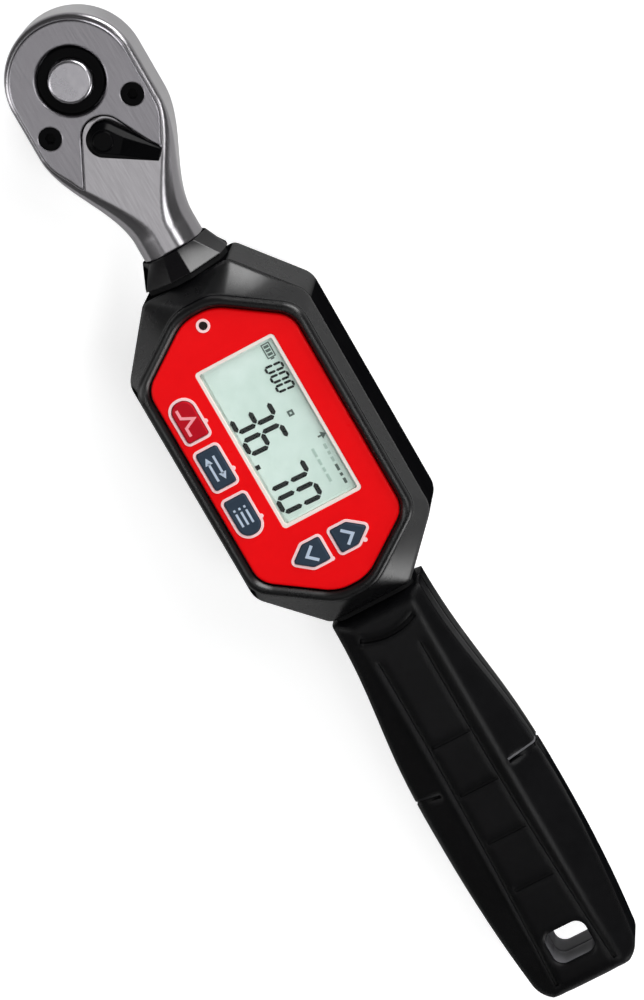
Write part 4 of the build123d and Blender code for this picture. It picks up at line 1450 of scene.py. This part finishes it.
@dataclass(frozen=True)
class Glow:
    """One soft bright patch of the surroundings.

    Attributes:
        turn: Its direction in degrees, from the grip's end (+X) towards +Y.
        height: Its height above the horizon in degrees.
        core: Radius in degrees of its even middle.
        reach: Radius in degrees at which it has faded away.
        level: Brightness of its middle, where 1 is white.
    """

    turn: float
    height: float
    core: float
    reach: float
    level: float


GLOWS: tuple[Glow, ...] = (
    Glow(-50.0, 77.5, 2.5, 8.5, 1.72),
    Glow(125.0, 13.0, 9.0, 24.0, 11.2),
    Glow(24.0, 3.0, 8.0, 24.0, 8.0),
    Glow(52.0, 66.0, 3.5, 13.0, 6.8),
)

# Brightness of the rest of the surroundings by height, from 0 at the horizon to 1 overhead.
SKY: tuple[Point, ...] = ((0.0, 0.16), (0.5, 0.16), (0.8, 0.08), (0.93, 0.08), (1.0, 0.24))


@dataclass(frozen=True)
class PaperSpec:
    """The white paper under the wrench.

    Attributes:
        half: Half of its side in metres.
        height: Its height in metres, just under the wrench.
        tones: Its darkest and palest tone.
        grain: Grains per metre in it.
        lift: Light that it adds in reflections, and where the camera sees it.
    """

    half: float = 3.0
    height: float = -0.0001
    tones: Point = (0.79, 0.81)
    grain: float = 25.0
    lift: Point = (0.0, 0.55)


class Studio:
    """Camera, panels of light, surroundings and white paper.

    Attributes:
        WHITE: Linear white with its alpha.
    """

    WHITE = (1.0, 1.0, 1.0, 1.0)

    def __init__(self, camera: CameraSpec, paper: PaperSpec) -> None:
        """Keep the settings.

        Args:
            camera: The photograph's view.
            paper: The paper under the wrench.
        """
        self.camera = camera
        self.paper = paper

    def _camera(self) -> None:
        """Place the camera as the photograph was taken."""
        spec = self.camera
        toward = Vector(spec.toward).normalized()
        along = (Vector((1, 0, 0)) - toward * toward.x).normalized()
        across = toward.cross(along)
        turn = math.radians(spec.roll)
        right = math.cos(turn) * along - math.sin(turn) * across
        up = math.sin(turn) * along + math.cos(turn) * across
        data = bpy.data.cameras.new("photo_camera")
        data.lens = spec.lens
        data.sensor_width = spec.sensor
        data.shift_x, data.shift_y = spec.shift
        data.clip_start, data.clip_end = spec.clip
        data.dof.use_dof = False
        thing = bpy.data.objects.new("photo_camera", data)
        bpy.context.scene.collection.objects.link(thing)
        place = Vector(spec.target) + toward * spec.distance
        for column, axis in enumerate((right, up, toward, place)):
            for row in range(3):
                thing.matrix_world[row][column] = axis[row]
        bpy.context.scene.camera = thing

    def _light(self, spec: LightSpec) -> None:
        """Place one panel of light, aimed at the wrench.

        Args:
            spec: The panel.
        """
        data = bpy.data.lights.new(spec.name, "AREA")
        data.shape = "RECTANGLE"
        data.size, data.size_y = spec.size
        data.energy = spec.power
        thing = bpy.data.objects.new(spec.name, data)
        bpy.context.scene.collection.objects.link(thing)
        thing.location = spec.place
        aim = Vector(self.camera.target) - Vector(spec.place)
        thing.rotation_euler = aim.to_track_quat("-Z", "X").to_euler()

    def _sky(self, nodes: Nodes, way: bpy.types.NodeSocket) -> bpy.types.NodeSocket:
        """Make the sky's brightness over height.

        Args:
            nodes: The world's nodes.
            way: Direction that is looked in.

        Returns:
            The output with the brightness.
        """
        height = nodes.add("ShaderNodeSeparateXYZ", {"Vector": way}).outputs["Z"]
        node = nodes.add("ShaderNodeValToRGB", {"Fac": height})
        ramp = node.color_ramp
        ramp.interpolation = "EASE"
        for i, (place, value) in enumerate(SKY):
            stop = ramp.elements[i] if i < len(ramp.elements) else ramp.elements.new(place)
            stop.position = place
            stop.color = (value, value, value, 1.0)
        return node.outputs["Color"]

    def _glow(self, nodes: Nodes, way: bpy.types.NodeSocket, glow: Glow) -> bpy.types.NodeSocket:
        """Make the brightness of one soft patch of the surroundings.

        Args:
            nodes: The world's nodes.
            way: Direction that is looked in.
            glow: The patch.

        Returns:
            The output with its brightness.
        """
        turn, height = math.radians(glow.turn), math.radians(glow.height)
        axis = (math.cos(turn) * math.cos(height), math.sin(turn) * math.cos(height), math.sin(height))
        match = nodes.add("ShaderNodeVectorMath", {0: way, 1: axis}, operation="DOT_PRODUCT")
        limits = {
            "From Min": math.cos(math.radians(glow.reach)),
            "From Max": math.cos(math.radians(glow.core)),
            "To Max": glow.level,
        }
        return nodes.span(match.outputs["Value"], limits, interpolation_type="SMOOTHSTEP")

    def _surroundings(self) -> None:
        """Dim sky with soft bright patches; white where the camera sees it, also through the window."""
        world = bpy.data.worlds.new("surroundings")
        world.use_nodes = True
        bpy.context.scene.world = world
        nodes = Nodes(world.node_tree)
        way = nodes.add("ShaderNodeTexCoord").outputs["Generated"]
        level = self._sky(nodes, way)
        for glow in GLOWS:
            level = nodes.number("ADD", level, self._glow(nodes, way, glow))
        path = nodes.add("ShaderNodeLightPath").outputs
        seen = nodes.number("MAXIMUM", path["Is Camera Ray"], path["Is Transmission Ray"])
        around = nodes.add("ShaderNodeBackground", {"Color": self.WHITE, "Strength": level})
        white = nodes.add("ShaderNodeBackground", {"Color": self.WHITE, "Strength": 1.0})
        pick = nodes.add(
            "ShaderNodeMixShader",
            {"Fac": seen, 1: around.outputs["Background"], 2: white.outputs["Background"]},
        )
        nodes.add("ShaderNodeOutputWorld", {"Surface": pick.outputs["Shader"]})

    def _floor_material(self) -> bpy.types.Material:
        """White paper that keeps soft shadows and never greys the picture.

        Returns:
            The material.
        """
        material = bpy.data.materials.new("white paper")
        material.use_nodes = True
        nodes = Nodes(material.node_tree)
        grain = nodes.add(
            "ShaderNodeTexNoise", {"Vector": nodes.place(), "Scale": self.paper.grain, "Detail": 2.0}
        )
        dark, pale = self.paper.tones
        tone = nodes.span(grain.outputs["Fac"], {"To Min": dark, "To Max": pale})
        paper = nodes.add("ShaderNodeBsdfDiffuse", {"Color": tone}).outputs["BSDF"]
        path = nodes.add("ShaderNodeLightPath").outputs
        reflected, seen = self.paper.lift
        lift = nodes.span(path["Is Camera Ray"], {"To Min": reflected, "To Max": seen})
        glow = nodes.add("ShaderNodeEmission", {"Strength": lift}).outputs["Emission"]
        lifted = nodes.add("ShaderNodeAddShader", {0: paper, 1: glow}).outputs["Shader"]
        shows = nodes.number("MAXIMUM", path["Is Camera Ray"], path["Is Transmission Ray"])
        shows = nodes.number("MAXIMUM", shows, path["Is Glossy Ray"])
        pick = nodes.add("ShaderNodeMixShader", {"Fac": shows, 1: paper, 2: lifted})
        nodes.add("ShaderNodeOutputMaterial", {"Surface": pick.outputs["Shader"]})
        return material

    def _floor(self) -> None:
        """Lay the paper that the wrench rests on."""
        mesh = bmesh.new()
        ends = (-self.paper.half, self.paper.half)
        corners = [mesh.verts.new((x, y, self.paper.height)) for x in ends for y in ends]
        mesh.faces.new((corners[0], corners[2], corners[3], corners[1]))
        data = bpy.data.meshes.new("paper")
        mesh.to_mesh(data)
        mesh.free()
        data.materials.append(self._floor_material())
        paper = bpy.data.objects.new("paper", data)
        bpy.context.scene.collection.objects.link(paper)

    def build(self) -> None:
        """Set up the whole stage."""
        self._camera()
        for spec in LIGHTS:
            self._light(spec)
        self._surroundings()
        self._floor()
        bpy.context.scene.view_settings.view_transform = "Standard"
        log.info("stage ready with %d lights", len(LIGHTS))


def main() -> None:
    """Dress the frame, print the display and keys, add the spring and set the stage."""
    shop = MaterialShop(EffectLibrary())
    FrameDresser(shop).dress()
    DisplayPrint(DisplayLayout(), shop).build()
    KeypadPrint(SignSizes(), shop).build()
    PressedSpring(SpringSpec(), shop).build()
    Studio(CameraSpec(), PaperSpec()).build()


if __name__ == "__main__":
    main()
